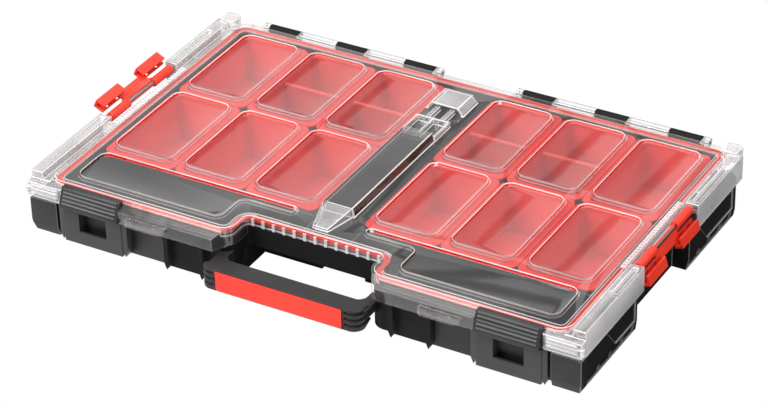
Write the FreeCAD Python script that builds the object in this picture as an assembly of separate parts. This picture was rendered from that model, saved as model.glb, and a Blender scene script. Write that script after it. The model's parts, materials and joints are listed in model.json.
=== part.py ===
import FreeCAD, Part
import math
import os

# Organizer box: a black base with a carry handle and two front latches, twelve red
# bins, and a clear lid on two rear hinges with a red stacking clip on each side.
# Millimetres. X runs to the right, Y from the front to the back, Z up. The origin is
# on the flat underside of the base, on the plane of symmetry.

# Windows of the lid, which set the grid of bins below them
window_width = 61.5
window_length = 112.0
window_gap_x = 16.3
window_gap_y = 15.8
window_corner = 9.0
window_sink = 3.0
columns = 3
rows = 2
centre_bay_half = 25.0
row_split_y = 29.0

# Sealing rim of the base, given by its middle line
rim_side_margin = 7.1
rim_back_margin = 7.2
front_tray_length = 67.2
rim_recess_half = 76.7
rim_recess_depth = 31.0
rim_corner = 10.0
rim_width = 3.0
rim_top = 49.7

# Base
base_wall = 2.4
base_floor = 2.4
base_flange = 4.5
ledge_below_rim = 3.7
ledge_thick = 2.4
partition_thick = 1.8
partition_below_rim = 1.7
partition_play = 0.2
finger_bay_height = 25.0
finger_bay_depth = 23.5
bay_notch_left_x = -11.0
bay_notch_right_x = 34.0
bay_notch_depth = 32.0

# Side feet of the base, one pair at the front and one at the back
foot_reach = 17.0
foot_below_rim = 14.2
foot_chamfer_in = 2.6
foot_chamfer_up = 12.0
front_foot_end_y = -68.0
front_foot_root_y = -46.0
rear_foot_end_y = 41.0
rear_foot_pocket_inset = 19.5
rear_foot_taper_inset = 30.5
rear_foot_tail_reach = 11.0
rear_foot_tail_inset = 10.5
foot_pocket_pitch = 19.0
foot_pocket_wall = 2.4
foot_pocket_roof = 5.5
foot_relief = 1.2
foot_panel_low = 13.5
foot_panel_slant = 18.0
foot_panel_margin = 4.0
front_panel_inset = 50.0
rear_panel_inset = 22.0
foot_cell_bottom = 1.5
foot_cell_top = 11.0
foot_cell_rib = 1.8
front_cells_inset = 14.0
foot_cell_count = 4

# Front face of the base
fascia_depth = 8.5
corner_panel_gap = 8.5
corner_panel_step = 1.0
corner_chamfer_in = 3.0
corner_chamfer_up = 9.0
rib_width = 5.0
rib_point = 6.5
rib_below_rim = 5.7
rib_from_handle = 16.0
rib_pitch = 38.0
front_panel_thick = 1.5

# Hinge at the back
hinge_reach = 11.5
hinge_above_rim = 2.8
knuckle_radius = 5.0
hinge_pin_radius = 1.5
hinge_bore_clearance = 0.15
knuckle_from_bay = 40.6
base_knuckle_width = 34.0
knuckle_gap = 0.6
lid_end_knuckle = 7.0
hinge_arm_drop = 17.0
hinge_arm_gap = 1.2

# Lid
lid_above_rim = 7.3
deck_thick = 2.5
deck_overhang = 4.0
window_wall = 2.0
tray_window_bay_gap = 13.0
tray_window_side_gap = 15.5
tray_window_recess_gap_x = 16.3
tray_window_bin_gap = 8.2
tray_window_recess_gap_y = 20.0
tray_window_front_gap = 13.5
tray_window_tip = 3.9
seal_band_half = 4.0
seal_band_drop = 2.7
gasket_width = 5.0
gasket_height = 3.4
gasket_gap = 0.3
front_edge_reach = 17.0
front_edge_drop = 6.0
skirt_thick = 2.0
skirt_drop = 17.0
front_skirt_drop = 18.5
lid_clearance = 1.0
recess_flare = 6.3
recess_skirt_drop = 10.5
side_skirt_gap = 0.5
side_skirt_thick = 1.5
side_skirt_back_gap = 2.5
cheek_turn = 45.0

# Side rails of the lid
rail_reach = 22.5
rail_width = 13.0
rail_rise = 5.0
rail_wall = 2.0
rail_front_reach = 6.0
rail_back_inset = 8.0
rail_skirt_drop = 20.8
rail_groove_drop = 2.5
rail_channel_inset_in = 5.0
rail_channel_inset_out = 3.4
rail_channel_depth = 2.4
rail_channel_front_gap = 67.0
rail_channel_back_gap = 26.0
rail_slot_inset = 0.9
rail_slot_wall = 0.8
rail_slot_shares = [(0.107, 0.235), (0.247, 0.302), (0.75, 0.793), (0.805, 0.93)]
stop_over_deck = 2.3
stop_inset = 4.0
stop_lap = 6.0
stop_tail = 3.0
stop_rise = 3.0
stop_corner = 4.0
corner_block_reach = 14.0
corner_block_gap = 0.5
corner_rib_inset = 5.0
corner_rib_reach = 1.6
corner_rib_height = 1.8
corner_rib_drop = 11.5
corner_rib_pitch = 3.8
corner_rib_count = 3
corner_nub_radius = 3.6
corner_nub_in = 1.6
corner_nub_drop = 12.0
corner_nub_height = 7.0

# Centre ridge of the lid and the two moulded hoods at its ends
ridge_rise = 9.0
ridge_half_foot = 18.0
ridge_half_top = 15.5
ridge_from_trays = 0.8
ridge_past_split = 23.0
ridge_wall = 2.0
frame_length = 30.0
frame_rib = 2.0
frame_height = 6.0
hood_front_length = 32.0
hood_front_half = 8.0
hood_front_nose = 2.5
hood_back_inset = 52.8
hood_back_length = 30.0
hood_back_half = 20.0
hood_shoulder_half = 15.0
hood_back_rise = 8.0
brace_width = 5.0
brace_height = 4.0

# Padlock eyes on the front edge of the lid
eye_from_latch = 10.0
eye_length = 44.0
eye_reach = 10.0
eye_thick = 4.0
eye_drop = 8.5
eye_corner = 8.0
eye_slot_length = 21.0
eye_slot_width = 6.0
eye_slot_round_share = 0.95

# Latches at the front
latch_from_rim = 48.5
latch_width = 64.0
latch_stand = 9.5
latch_plate = 3.0
latch_side = 2.4
latch_window_width = 30.0
latch_window_bottom = 13.7
latch_pivot_in = 3.0
latch_pivot_drop = 21.8
latch_pin_radius = 1.2
latch_bore_clearance = 0.15
latch_eye_radius = 2.7
latch_side_play = 0.5
frame_top_above_pivot = 1.0
head_above_pivot = 3.3
head_above_lid = 1.0
head_front_reach = 5.5
head_slope = 1.5
head_wall_gap = 2.7
head_ribs = 5
head_rib_height = 1.3
tongue_drop = 1.4

# Carry handle
bar_reach = 35.5
bar_gap = 9.5
bar_past_recess = 10.8
bar_bottom = 15.0
bar_below_ledge = 8.5
bar_back_drop = 5.5
bar_back_bottom = 21.0
bar_corner = 11.0
bar_opening_corner = 9.0
arm_seat = 7.5
arm_bottom = 17.0
groove_height = 2.6
groove_depth = 2.2
groove_first_z = 21.0
groove_pitch = 6.2
groove_count = 3
inlay_end_gap = 17.5
inlay_bottom = 16.4
inlay_top_gap = 1.5
inlay_seat = 2.0
inlay_proud = 1.0

# Bins and their dividers
bin_gap = 0.8
bin_above_rim = 1.3
bin_flange = 4.5
bin_flange_thick = 1.8
bin_wall = 1.5
bin_floor = 1.6
bin_draft = 2.0
bin_corner = 8.0
bin_scoop = 22.0
divider_thick = 1.6
divider_bead = 4.5
divider_bead_height = 2.0
divider_clearance = 0.3
divider_below_top = 1.5

# Side clips
clip_axis_inset = 5.0
clip_axis_above_lid = 0.5
clip_half_length = 53.0
clip_notch_clearance = 3.5
clip_barrel_radius = 4.5
clip_barrel_length = 31.0
clip_pin_radius = 2.0
clip_bore_clearance = 0.25
clip_pin_seat = 6.0
clip_plate = 2.6
clip_reach = 20.0
clip_pad_length = 37.0
clip_web_reach = 14.0
clip_hook_out = 6.0
clip_hook_back = 10.5
clip_hook_wall = 2.2
clip_hole = 5.2
clip_hole_out = 12.4
clip_slot = 3.0
clip_slot_out = 5.6
clip_hole_shares = (0.27, 0.73)
clip_closed_tilt = -75.0
clip_open_tilt = 26.0

overrun = 2.0

origin = FreeCAD.Vector(0, 0, 0)
x_axis = FreeCAD.Vector(1, 0, 0)
y_axis = FreeCAD.Vector(0, 1, 0)

# Plan sizes that follow from the driving ones
bin_pitch_x = window_width + window_gap_x
bin_pitch_y = window_length + window_gap_y
bin_outer_x = centre_bay_half + columns * bin_pitch_x
bin_front_y = row_split_y - bin_pitch_y
bin_back_y = row_split_y + bin_pitch_y
rim_half_x = bin_outer_x + rim_side_margin
rim_back_y = bin_back_y + rim_back_margin
rim_front_y = bin_front_y - front_tray_length
rim_recess_y = rim_front_y + rim_recess_depth
base_outer_x = rim_half_x + base_flange
base_inner_x = base_outer_x - base_wall
base_front_y = rim_front_y - base_flange
base_back_y = rim_back_y + base_flange
base_inner_back_y = base_back_y - base_wall
recess_back_y = rim_recess_y - base_flange
recess_half = rim_recess_half - base_flange
recess_flare_x = rim_recess_half + recess_flare
finger_bay_back_y = rim_recess_y + finger_bay_depth
bay_notch_back_y = rim_recess_y + bay_notch_depth
fascia_front_y = base_front_y - fascia_depth
foot_half_x = base_outer_x + foot_reach
rear_foot_back_y = base_back_y - rear_foot_pocket_inset
rear_foot_taper_y = base_back_y - rear_foot_taper_inset
rear_foot_tail_x = base_outer_x + rear_foot_tail_reach
rear_foot_tail_y = base_back_y - rear_foot_tail_inset
front_panel_start_y = fascia_front_y + front_panel_inset
front_panel_end_y = front_foot_end_y - foot_panel_margin
rear_panel_start_y = rear_foot_end_y + rear_panel_inset
rear_panel_end_y = rear_foot_taper_y - foot_relief
front_cells_start_y = fascia_front_y + front_cells_inset
rear_cells_start_y = rear_foot_end_y + foot_relief
hinge_axis_y = rim_back_y + hinge_reach
knuckle_first_x = centre_bay_half + knuckle_from_bay
deck_edge_x = rim_half_x + deck_overhang
deck_edge_y = rim_front_y - deck_overhang
tray_window_inner_x = centre_bay_half + tray_window_bay_gap
tray_window_outer_x = rim_half_x - tray_window_side_gap
tray_window_step_x = rim_recess_half + tray_window_recess_gap_x
tray_window_back_y = bin_front_y - tray_window_bin_gap
tray_window_step_y = rim_recess_y + tray_window_recess_gap_y
tray_window_front_y = rim_front_y + tray_window_front_gap
front_edge_y = rim_front_y - front_edge_reach
side_skirt_inner = base_flange + side_skirt_gap
side_skirt_outer = side_skirt_inner + side_skirt_thick
cheek_centre_x = rim_recess_half + rim_corner
cheek_centre_y = rim_front_y + rim_corner
cheek_back_x = cheek_centre_x - (rim_corner + side_skirt_outer) * math.cos(math.radians(cheek_turn))
cheek_back_y = cheek_centre_y - (rim_corner + side_skirt_outer) * math.sin(math.radians(cheek_turn))
rail_outer_x = rim_half_x + rail_reach
rail_inner_x = rail_outer_x - rail_width
rail_front_y = rim_front_y - rail_front_reach
rail_back_y = rim_back_y - rail_back_inset
rail_channel_inner_x = rail_inner_x + rail_channel_inset_in
rail_channel_outer_x = rail_outer_x - rail_channel_inset_out
rail_channel_front_y = rail_front_y + rail_channel_front_gap
rail_channel_back_y = rail_back_y - rail_channel_back_gap
rail_slot_inner_x = deck_edge_x + rail_slot_inset
rail_slot_outer_x = rail_inner_x - rail_slot_wall
stop_inner_x = deck_edge_x - stop_over_deck
stop_outer_x = rail_outer_x - stop_inset
stop_front_y = rail_back_y - stop_lap
stop_back_y = rim_back_y + stop_tail
corner_block_front_y = rim_front_y - corner_block_reach
ridge_front_y = bin_front_y + ridge_from_trays
ridge_back_y = row_split_y + ridge_past_split
hood_back_start = bin_back_y - hood_back_inset
hood_back_end = hood_back_start + hood_back_length
latch_centre_x = rim_half_x - latch_from_rim
latch_inner_x = latch_centre_x - latch_width / 2
latch_outer_x = latch_centre_x + latch_width / 2
latch_front_y = base_front_y - latch_stand
latch_pivot_y = latch_front_y + latch_pivot_in
head_top_front_y = latch_front_y + head_slope
head_back_y = base_front_y - head_wall_gap
eye_outer_x = latch_inner_x - eye_from_latch
eye_inner_x = eye_outer_x - eye_length
corner_panel_inner_x = latch_outer_x + corner_panel_gap
bar_front_y = base_front_y - bar_reach
bar_back_y = base_front_y - bar_gap
bar_half_x = recess_half + bar_past_recess
arm_back_y = base_front_y + arm_seat
inlay_half_x = bar_half_x - inlay_end_gap
rib_first_x = bar_half_x + rib_from_handle
rib_second_x = rib_first_x + rib_pitch
clip_axis_x = rail_inner_x + clip_axis_inset
clip_notch_half = clip_half_length + clip_notch_clearance

# Heights that follow from the driving ones
ledge_top = rim_top - ledge_below_rim
ledge_bottom = ledge_top - ledge_thick
partition_top = rim_top - partition_below_rim
foot_top = rim_top - foot_below_rim
foot_pocket_height = foot_top - foot_pocket_roof
corner_panel_top = foot_top + corner_panel_step
rib_top = rim_top - rib_below_rim
hinge_axis_z = rim_top + hinge_above_rim
lid_top = rim_top + lid_above_rim
deck_bottom = lid_top - deck_thick
window_floor_top = lid_top - window_sink
window_floor_bottom = window_floor_top - window_wall
seal_band_bottom = deck_bottom - seal_band_drop
gasket_bottom = rim_top + gasket_gap
gasket_top = gasket_bottom + gasket_height
skirt_bottom = lid_top - skirt_drop
front_skirt_bottom = lid_top - front_skirt_drop
recess_skirt_bottom = lid_top - recess_skirt_drop
rail_top = lid_top + rail_rise
rail_skirt_bottom = lid_top - rail_skirt_drop
stop_top = rail_top + stop_rise
corner_block_top = deck_bottom - corner_block_gap
corner_rib_first_z = corner_block_top - corner_rib_drop
corner_nub_bottom = corner_block_top - corner_nub_drop
corner_nub_top = corner_nub_bottom + corner_nub_height
ridge_top = lid_top + ridge_rise
eye_top = lid_top - eye_drop
latch_pivot_z = lid_top - latch_pivot_drop
head_bottom = latch_pivot_z + head_above_pivot
head_top = lid_top + head_above_lid
bar_front_top = ledge_top - bar_below_ledge
bar_back_top = bar_front_top - bar_back_drop
inlay_top = bar_front_top - inlay_top_gap
bin_top = rim_top + bin_above_rim
clip_axis_z = lid_top + clip_axis_above_lid


def vec(x, y, z):
    return FreeCAD.Vector(x, y, z)


def box(x0, x1, y0, y1, z0, z1):
    return Part.makeBox(x1 - x0, y1 - y0, z1 - z0, vec(x0, y0, z0))


def rod_x(x0, x1, y, z, radius):
    return Part.makeCylinder(radius, x1 - x0, vec(x0, y, z), x_axis)


def rod_y(y0, y1, x, z, radius):
    return Part.makeCylinder(radius, y1 - y0, vec(x, y0, z), y_axis)


def rounded_wire(points, radii):
    """Closed wire through the points, with a tangent arc at each corner that has a radius."""
    count = len(points)
    starts = []
    ends = []
    middles = []
    for i in range(count):
        corner = points[i]
        back = (points[i - 1] - corner).normalize()
        ahead = (points[(i + 1) % count] - corner).normalize()
        half_turn = back.getAngle(ahead) / 2
        run = radii[i] / math.tan(half_turn)
        starts.append(corner + back * run)
        ends.append(corner + ahead * run)
        bisector = (back + ahead).normalize()
        middles.append(corner + bisector * (radii[i] / math.sin(half_turn) - radii[i]))
    edges = []
    for i in range(count):
        if radii[i] > 0:
            edges.append(Part.Arc(starts[i], middles[i], ends[i]).toShape())
        edges.append(Part.LineSegment(ends[i], starts[(i + 1) % count]).toShape())
    return Part.Wire(edges)


def plan_prism(outline, z0, z1, radii=None):
    """Solid whose plan is the outline, between two heights."""
    points = [vec(x, y, z0) for x, y in outline]
    if radii is None:
        radii = [0] * len(points)
    face = Part.Face(rounded_wire(points, radii))
    return face.extrude(vec(0, 0, z1 - z0))


def side_prism(profile, x0, x1):
    """Solid whose outline in Y and Z is the profile, between two places along X."""
    points = [vec(x0, y, z) for y, z in profile]
    face = Part.Face(Part.makePolygon(points + points[:1]))
    return face.extrude(vec(x1 - x0, 0, 0))


def end_prism(profile, y0, y1):
    """Solid whose outline in X and Z is the profile, between two places along Y."""
    points = [vec(x, y0, z) for x, z in profile]
    face = Part.Face(Part.makePolygon(points + points[:1]))
    return face.extrude(vec(0, y1 - y0, 0))


def rectangle(x0, x1, y0, y1):
    return [(x0, y0), (x1, y0), (x1, y1), (x0, y1)]


def rounded_box(x0, x1, y0, y1, z0, z1, radius):
    return plan_prism(rectangle(x0, x1, y0, y1), z0, z1, [radius] * 4)


def fuse(shapes):
    return shapes[0].multiFuse(shapes[1:]).removeSplitter()


def mirrored(shape):
    return shape.mirror(origin, x_axis)


def both_sides(shapes):
    return shapes + [mirrored(s) for s in shapes]


def rim_prism(offset, z0, z1):
    """Prism over the outline of the sealing rim, moved outwards by the offset."""
    x = rim_half_x + offset
    back = rim_back_y + offset
    front = rim_front_y - offset
    inner = rim_recess_half - offset
    recess = rim_recess_y - offset
    outline = [(-x, back), (-x, front), (-inner, front), (-inner, recess),
               (inner, recess), (inner, front), (x, front), (x, back)]
    bulge = rim_corner + offset
    hollow = rim_corner - offset
    radii = [bulge, bulge, bulge, hollow, hollow, bulge, bulge, bulge]
    return plan_prism(outline, z0, z1, radii)


def rim_ring(outer, inner, z0, z1):
    return rim_prism(outer, z0, z1).cut(rim_prism(inner, z0 - overrun, z1 + overrun))


def bin_cells():
    """Name, middle and grid place of each bin, seen from the front."""
    cells = []
    for side_name, side in (("left", -1), ("right", 1)):
        for row_name, row in (("front", 0), ("back", 1)):
            for column in range(columns):
                place = columns - 1 - column if side < 0 else column
                x = side * (centre_bay_half + bin_pitch_x * (place + 0.5))
                y = bin_front_y + bin_pitch_y * (row + 0.5)
                cells.append((f"bin_{side_name}_{row_name}_{column + 1}", x, y))
    return cells


# Base

def base_wall_ring():
    """Outer wall, from the top of the floor up to the underside of the ledge."""
    return rim_ring(base_flange, base_flange - base_wall, base_floor, ledge_bottom)


def make_base_floor():
    """Floor plate, left open where the finger bay stands."""
    plate = rim_prism(base_flange, 0, base_floor)
    plate = plate.cut(finger_bay(base_wall, recess_back_y, -overrun, base_floor + overrun))
    return plate.cut(finger_bay(0, recess_back_y - rim_corner, -overrun, base_floor + overrun))


def base_room():
    """Room that the wall, the ledge and what they enclose take up."""
    return rim_prism(base_flange, 0, ledge_top)


def make_sealing_rim():
    """Ledge round the mouth of the tub, with the upright rim that meets the seal."""
    ledge = rim_ring(base_flange, -rim_width / 2, ledge_bottom, ledge_top)
    return fuse([ledge, rim_ring(rim_width / 2, -rim_width / 2, ledge_bottom, rim_top)])


def finger_bay(grow, start_y, z0, z1):
    """Block of the bay behind the handle, stepped back further in its middle."""
    wide = box(-recess_half - grow, recess_half + grow, start_y, finger_bay_back_y + grow, z0, z1)
    notch = box(bay_notch_left_x - grow, bay_notch_right_x + grow, start_y, bay_notch_back_y + grow, z0, z1)
    return fuse([wide, notch])


def tray_wall():
    """Wall between a front tray and the bins, pushed in below the ledge."""
    start = centre_bay_half + partition_play
    y0 = bin_front_y - partition_thick
    low_top = ledge_bottom - partition_play
    low = box(start, base_inner_x - partition_play, y0, bin_front_y, base_floor, low_top)
    high = box(start, rim_half_x - rim_width / 2 - partition_play, y0, bin_front_y, base_floor,
               partition_top)
    return fuse([low, high])


def bay_wall(side):
    """Wall beside the centre bay, which steps over the raised floor of the finger bay."""
    x0 = side * centre_bay_half
    x1 = x0 - side * partition_thick
    low = box(min(x0, x1), max(x0, x1), recess_back_y + base_wall + partition_play,
              base_inner_back_y - partition_play, base_floor, ledge_bottom - partition_play)
    high = box(min(x0, x1), max(x0, x1), bin_front_y, bin_back_y, base_floor, partition_top)
    block = finger_bay(base_wall + partition_play, recess_back_y, 0, finger_bay_height + base_floor)
    return fuse([low, high]).cut(block)


def foot_profile():
    """Outline of a foot in X and Z, with its lower outer edge cut off."""
    root = base_inner_x + base_wall / 2
    return [(root, 0), (foot_half_x - foot_chamfer_in, 0), (foot_half_x, foot_chamfer_up),
            (foot_half_x, foot_top), (root, foot_top)]


def foot_pockets(y0, y1):
    """Pockets open at the underside, which leave cross ribs in the foot."""
    x0 = base_outer_x + foot_pocket_wall
    x1 = foot_half_x - foot_chamfer_in - foot_pocket_wall
    count = int((y1 - y0) / foot_pocket_pitch)
    pitch = (y1 - y0) / count
    pockets = []
    for i in range(count):
        y = y0 + i * pitch
        pockets.append(box(x0, x1, y + foot_pocket_wall / 2, y + pitch - foot_pocket_wall / 2,
                           -overrun, foot_pocket_height))
    return pockets


def foot_panel(start_y, end_y):
    """Cutter for the sunk panel on the outer side of a foot, with one slanted end."""
    profile = [(start_y, foot_top + overrun), (start_y, foot_top),
               (start_y + foot_panel_slant, foot_panel_low),
               (end_y, foot_panel_low), (end_y, foot_top + overrun)]
    return side_prism(profile, foot_half_x - foot_relief, foot_half_x + overrun)


def foot_cells(start_y, end_y, count):
    """Cutters for the row of cells along the lower outer edge of a foot."""
    slope = foot_chamfer_in / foot_chamfer_up
    x_low = foot_half_x - foot_chamfer_in + slope * foot_cell_bottom - foot_relief
    x_high = foot_half_x - foot_chamfer_in + slope * foot_cell_top - foot_relief
    outside = foot_half_x + overrun
    profile = [(x_low, foot_cell_bottom), (outside, foot_cell_bottom), (outside, foot_cell_top),
               (x_high, foot_cell_top)]
    pitch = (end_y - start_y) / count
    cells = []
    for i in range(count):
        y = start_y + i * pitch
        cells.append(end_prism(profile, y + foot_cell_rib / 2, y + pitch - foot_cell_rib / 2))
    return cells


def foot_block():
    """Block of a foot along the whole side, before its plan is cut out."""
    return end_prism(foot_profile(), fascia_front_y, base_back_y)


def hollowed_foot(foot, pockets, panel, cells):
    for cutter in pockets + [panel] + cells + [base_room()]:
        foot = foot.cut(cutter)
    return foot


def front_foot_side():
    root = base_inner_x + base_wall / 2
    plan = [(root, fascia_front_y), (foot_half_x, fascia_front_y), (foot_half_x, front_foot_end_y),
            (root, front_foot_root_y)]
    foot = foot_block().common(plan_prism(plan, 0, foot_top))
    return hollowed_foot(foot, foot_pockets(fascia_front_y + foot_chamfer_up, front_foot_end_y),
                         foot_panel(front_panel_start_y, front_panel_end_y),
                         foot_cells(front_cells_start_y, front_panel_end_y, foot_cell_count))


def corner_panel():
    """Front face of a front foot, with its lower edge cut off."""
    profile = [(base_front_y, 0), (fascia_front_y + corner_chamfer_in, 0),
               (fascia_front_y, corner_chamfer_up), (fascia_front_y, corner_panel_top),
               (base_front_y, corner_panel_top)]
    side = foot_half_x - foot_chamfer_in
    panel = side_prism(profile, corner_panel_inner_x, side)
    hollow = box(corner_panel_inner_x + foot_pocket_wall, side - foot_pocket_wall,
                 fascia_front_y + foot_pocket_wall + corner_chamfer_in, base_front_y + overrun,
                 -overrun, foot_pocket_height)
    return panel.cut(hollow)


def make_front_foot():
    """Foot at a front corner: the side of it and the panel on the front."""
    wedge = [(fascia_front_y - overrun, -overrun), (fascia_front_y + corner_chamfer_in, -overrun),
             (fascia_front_y + corner_chamfer_in, 0), (fascia_front_y, corner_chamfer_up),
             (fascia_front_y - overrun, corner_chamfer_up)]
    chamfer = side_prism(wedge, corner_panel_inner_x - overrun, foot_half_x + overrun)
    return fuse([front_foot_side(), corner_panel()]).cut(chamfer)


def make_rear_foot():
    root = base_inner_x + base_wall / 2
    plan = [(root, rear_foot_end_y), (foot_half_x, rear_foot_end_y),
            (foot_half_x, rear_foot_taper_y), (rear_foot_tail_x, rear_foot_tail_y),
            (root, base_back_y - base_wall / 2)]
    foot = foot_block().common(plan_prism(plan, 0, foot_top))
    return hollowed_foot(foot, foot_pockets(rear_foot_end_y + foot_pocket_wall, rear_foot_back_y),
                         foot_panel(rear_panel_start_y, rear_panel_end_y),
                         foot_cells(rear_cells_start_y, rear_panel_end_y, foot_cell_count))


def pointed_rib(x0, x1, top):
    """Upright rib of the front wall, pointed at its lower end."""
    profile = [((x0 + x1) / 2, 0), (x1, rib_point), (x1, top), (x0, top), (x0, rib_point)]
    return end_prism(profile, fascia_front_y, base_front_y)


def make_front_panel():
    """Thin raised panel of the front wall between the handle and a latch, with two ribs."""
    half = rib_width / 2
    ribs = [pointed_rib(x - half, x + half, rib_top) for x in (rib_first_x, rib_second_x)]
    return fuse([box(rib_first_x, rib_second_x, base_front_y - front_panel_thick, base_front_y, 0, rib_top)]
                + ribs)


def rear_ribs():
    """Upright ribs on the rear wall below the hinge arms."""
    ribs = []
    for x in knuckle_centres():
        for side in (-1, 1):
            edge = x + side * (base_knuckle_width / 2 - rib_width / 2)
            ribs.append(box(edge - rib_width / 2, edge + rib_width / 2, base_back_y - base_wall / 2,
                            base_back_y + rib_width / 2, base_floor, hinge_axis_z - hinge_arm_drop))
    return both_sides(ribs)


def knuckle_centres():
    return [knuckle_first_x + i * bin_pitch_x for i in range(columns)]


def base_knuckles():
    """Hinge knuckles of the base with the arms that carry them."""
    half = base_knuckle_width / 2
    outer = hinge_axis_y + knuckle_radius
    low = hinge_axis_z - hinge_arm_drop
    arm = [(base_back_y, low), (base_back_y + base_wall / 2, low),
           (outer, hinge_axis_z - knuckle_radius / 2), (outer, hinge_axis_z),
           (hinge_axis_y - knuckle_radius, hinge_axis_z),
           (base_back_y + hinge_arm_gap, ledge_top), (base_back_y, ledge_top)]
    pieces = []
    for x in knuckle_centres():
        barrel = rod_x(x - half, x + half, hinge_axis_y, hinge_axis_z, knuckle_radius)
        pieces.append(side_prism(arm, x - half, x + half).fuse(barrel))
    return both_sides(pieces)


def hinge_bore(x0, x1, clearance):
    return rod_x(x0, x1, hinge_axis_y, hinge_axis_z, hinge_pin_radius + clearance)


def make_base_tub():
    """Walls of the tub with the finger bay, the ribs of the rear wall and the hinge knuckles."""
    bay_block = finger_bay(base_wall, recess_back_y, 0, finger_bay_height + base_floor)
    tub = fuse([base_wall_ring(), bay_block] + rear_ribs() + base_knuckles())
    tub = tub.cut(finger_bay(0, recess_back_y - rim_corner, -overrun, finger_bay_height))
    bore = hinge_bore(-base_outer_x, base_outer_x, hinge_bore_clearance)
    return tub.cut(bore)


# Carry handle

def bar_prism(inset, z0, z1):
    """Plan of the handle: the cross bar and two short arms to the base's rounded corners."""
    half = bar_half_x - inset
    front = bar_front_y + inset
    outline = [(-half, arm_back_y), (-half, front), (half, front), (half, arm_back_y),
               (recess_half, arm_back_y), (recess_half, bar_back_y), (-recess_half, bar_back_y),
               (-recess_half, arm_back_y)]
    corner = bar_corner - inset
    radii = [0, corner, corner, 0, 0, bar_opening_corner, bar_opening_corner, 0]
    return plan_prism(outline, z0, z1, radii)


def handle_grooves():
    """Level grooves round the two front corners of the handle."""
    grooves = []
    for i in range(groove_count):
        z0 = groove_first_z + i * groove_pitch - groove_height / 2
        ring = bar_prism(-overrun, z0, z0 + groove_height)
        ring = ring.cut(bar_prism(groove_depth, z0 - overrun, z0 + groove_height + overrun))
        keep = inlay_half_x + groove_depth
        reach = bar_half_x + 2 * overrun
        wide = box(keep, reach, bar_front_y - 2 * overrun, base_front_y, z0, z0 + groove_height)
        grooves += both_sides([ring.common(wide)])
    return grooves


def make_carry_handle():
    plan = bar_prism(0, bar_bottom, bar_front_top)
    bar = [(bar_front_y - overrun, bar_bottom), (bar_front_y - overrun, bar_front_top),
           (bar_front_y, bar_front_top), (bar_back_y, bar_back_top), (arm_back_y + overrun, bar_back_top),
           (arm_back_y + overrun, arm_bottom), (bar_back_y, bar_back_bottom),
           (bar_front_y + bar_corner, bar_bottom)]
    handle = plan.common(side_prism(bar, -bar_half_x - overrun, bar_half_x + overrun))
    handle = handle.cut(base_room())
    pocket = box(-inlay_half_x, inlay_half_x, bar_front_y - overrun, bar_front_y + inlay_seat,
                 inlay_bottom, inlay_top)
    handle = handle.cut(pocket)
    for groove in handle_grooves():
        handle = handle.cut(groove)
    return handle


def make_handle_inlay():
    return box(-inlay_half_x, inlay_half_x, bar_front_y - inlay_proud, bar_front_y + inlay_seat,
               inlay_bottom, inlay_top)


# Latches, made for the right side

def make_latch_frame():
    """Frame on the front wall with a window, a pointed rib on each side and the pin's seat."""
    x0 = latch_inner_x
    x1 = latch_outer_x
    top = latch_pivot_z + frame_top_above_pivot
    window_x0 = latch_centre_x - latch_window_width / 2
    window_x1 = latch_centre_x + latch_window_width / 2
    plate_back = latch_front_y + latch_plate
    plate = box(x0, x1, latch_front_y, plate_back, 0, top)
    sides = [box(x0, x0 + latch_side, latch_front_y, base_front_y, 0, top),
             box(x1 - latch_side, x1, latch_front_y, base_front_y, 0, top)]
    sill = box(x0, x1, latch_front_y, base_front_y, 0, latch_side)
    cheeks = [box(window_x0 - latch_side, window_x0, latch_front_y, base_front_y, 0, top),
              box(window_x1, window_x1 + latch_side, latch_front_y, base_front_y, 0, top)]
    side_rib = rib_width + latch_side_play
    ribs = [pointed_rib(x0 - side_rib, x0, rib_top), pointed_rib(x1, x1 + side_rib, corner_panel_top)]
    frame = fuse([plate, sill] + sides + cheeks + ribs)
    window = box(window_x0, window_x1, latch_front_y - overrun, plate_back + overrun,
                 latch_window_bottom, top + overrun)
    bore = rod_x(x0, x1, latch_pivot_y, latch_pivot_z, latch_pin_radius)
    return frame.cut(window).cut(bore)


def latch_head_profile():
    return [(head_back_y, head_bottom), (latch_front_y - head_front_reach, head_bottom),
            (latch_front_y - head_front_reach, head_bottom + latch_plate),
            (head_top_front_y, head_top), (head_back_y, head_top)]


def latch_head_ribs(x0, x1):
    """Finger ribs across the sloping front of the latch head."""
    low_y = latch_front_y - head_front_reach
    low_z = head_bottom + latch_plate
    ribs = []
    for i in range(head_ribs):
        start = (i + 0.5) / head_ribs
        end = (i + 1) / head_ribs
        y0 = low_y + (head_top_front_y - low_y) * start
        z0 = low_z + (head_top - low_z) * start
        y1 = low_y + (head_top_front_y - low_y) * end
        z1 = low_z + (head_top - low_z) * end
        profile = [(y0, z0), (y0 - head_rib_height, z0), (y1, z1), (y1 + head_rib_height, z1),
                   (y0 + head_rib_height, z0)]
        ribs.append(side_prism(profile, x0, x1))
    return ribs


def make_latch_lever():
    """Ribbed head over the frame, with a tongue that turns on the pin."""
    x0 = latch_inner_x
    x1 = latch_outer_x
    half_eye = latch_window_width / 2 - latch_side_play
    head = side_prism(latch_head_profile(), x0, x1)
    tongue = box(latch_centre_x - half_eye, latch_centre_x + half_eye,
                 latch_front_y - latch_side_play, latch_pivot_y + latch_eye_radius,
                 latch_pivot_z - tongue_drop, head_bottom + latch_plate)
    eye = rod_x(latch_centre_x - half_eye, latch_centre_x + half_eye,
                latch_pivot_y, latch_pivot_z, latch_eye_radius)
    ribs = latch_head_ribs(x0 + latch_side, x1 - latch_side)
    lever = fuse([head, tongue, eye] + ribs)
    bore = rod_x(x0, x1, latch_pivot_y, latch_pivot_z, latch_pin_radius + latch_bore_clearance)
    return lever.cut(bore)


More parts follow.
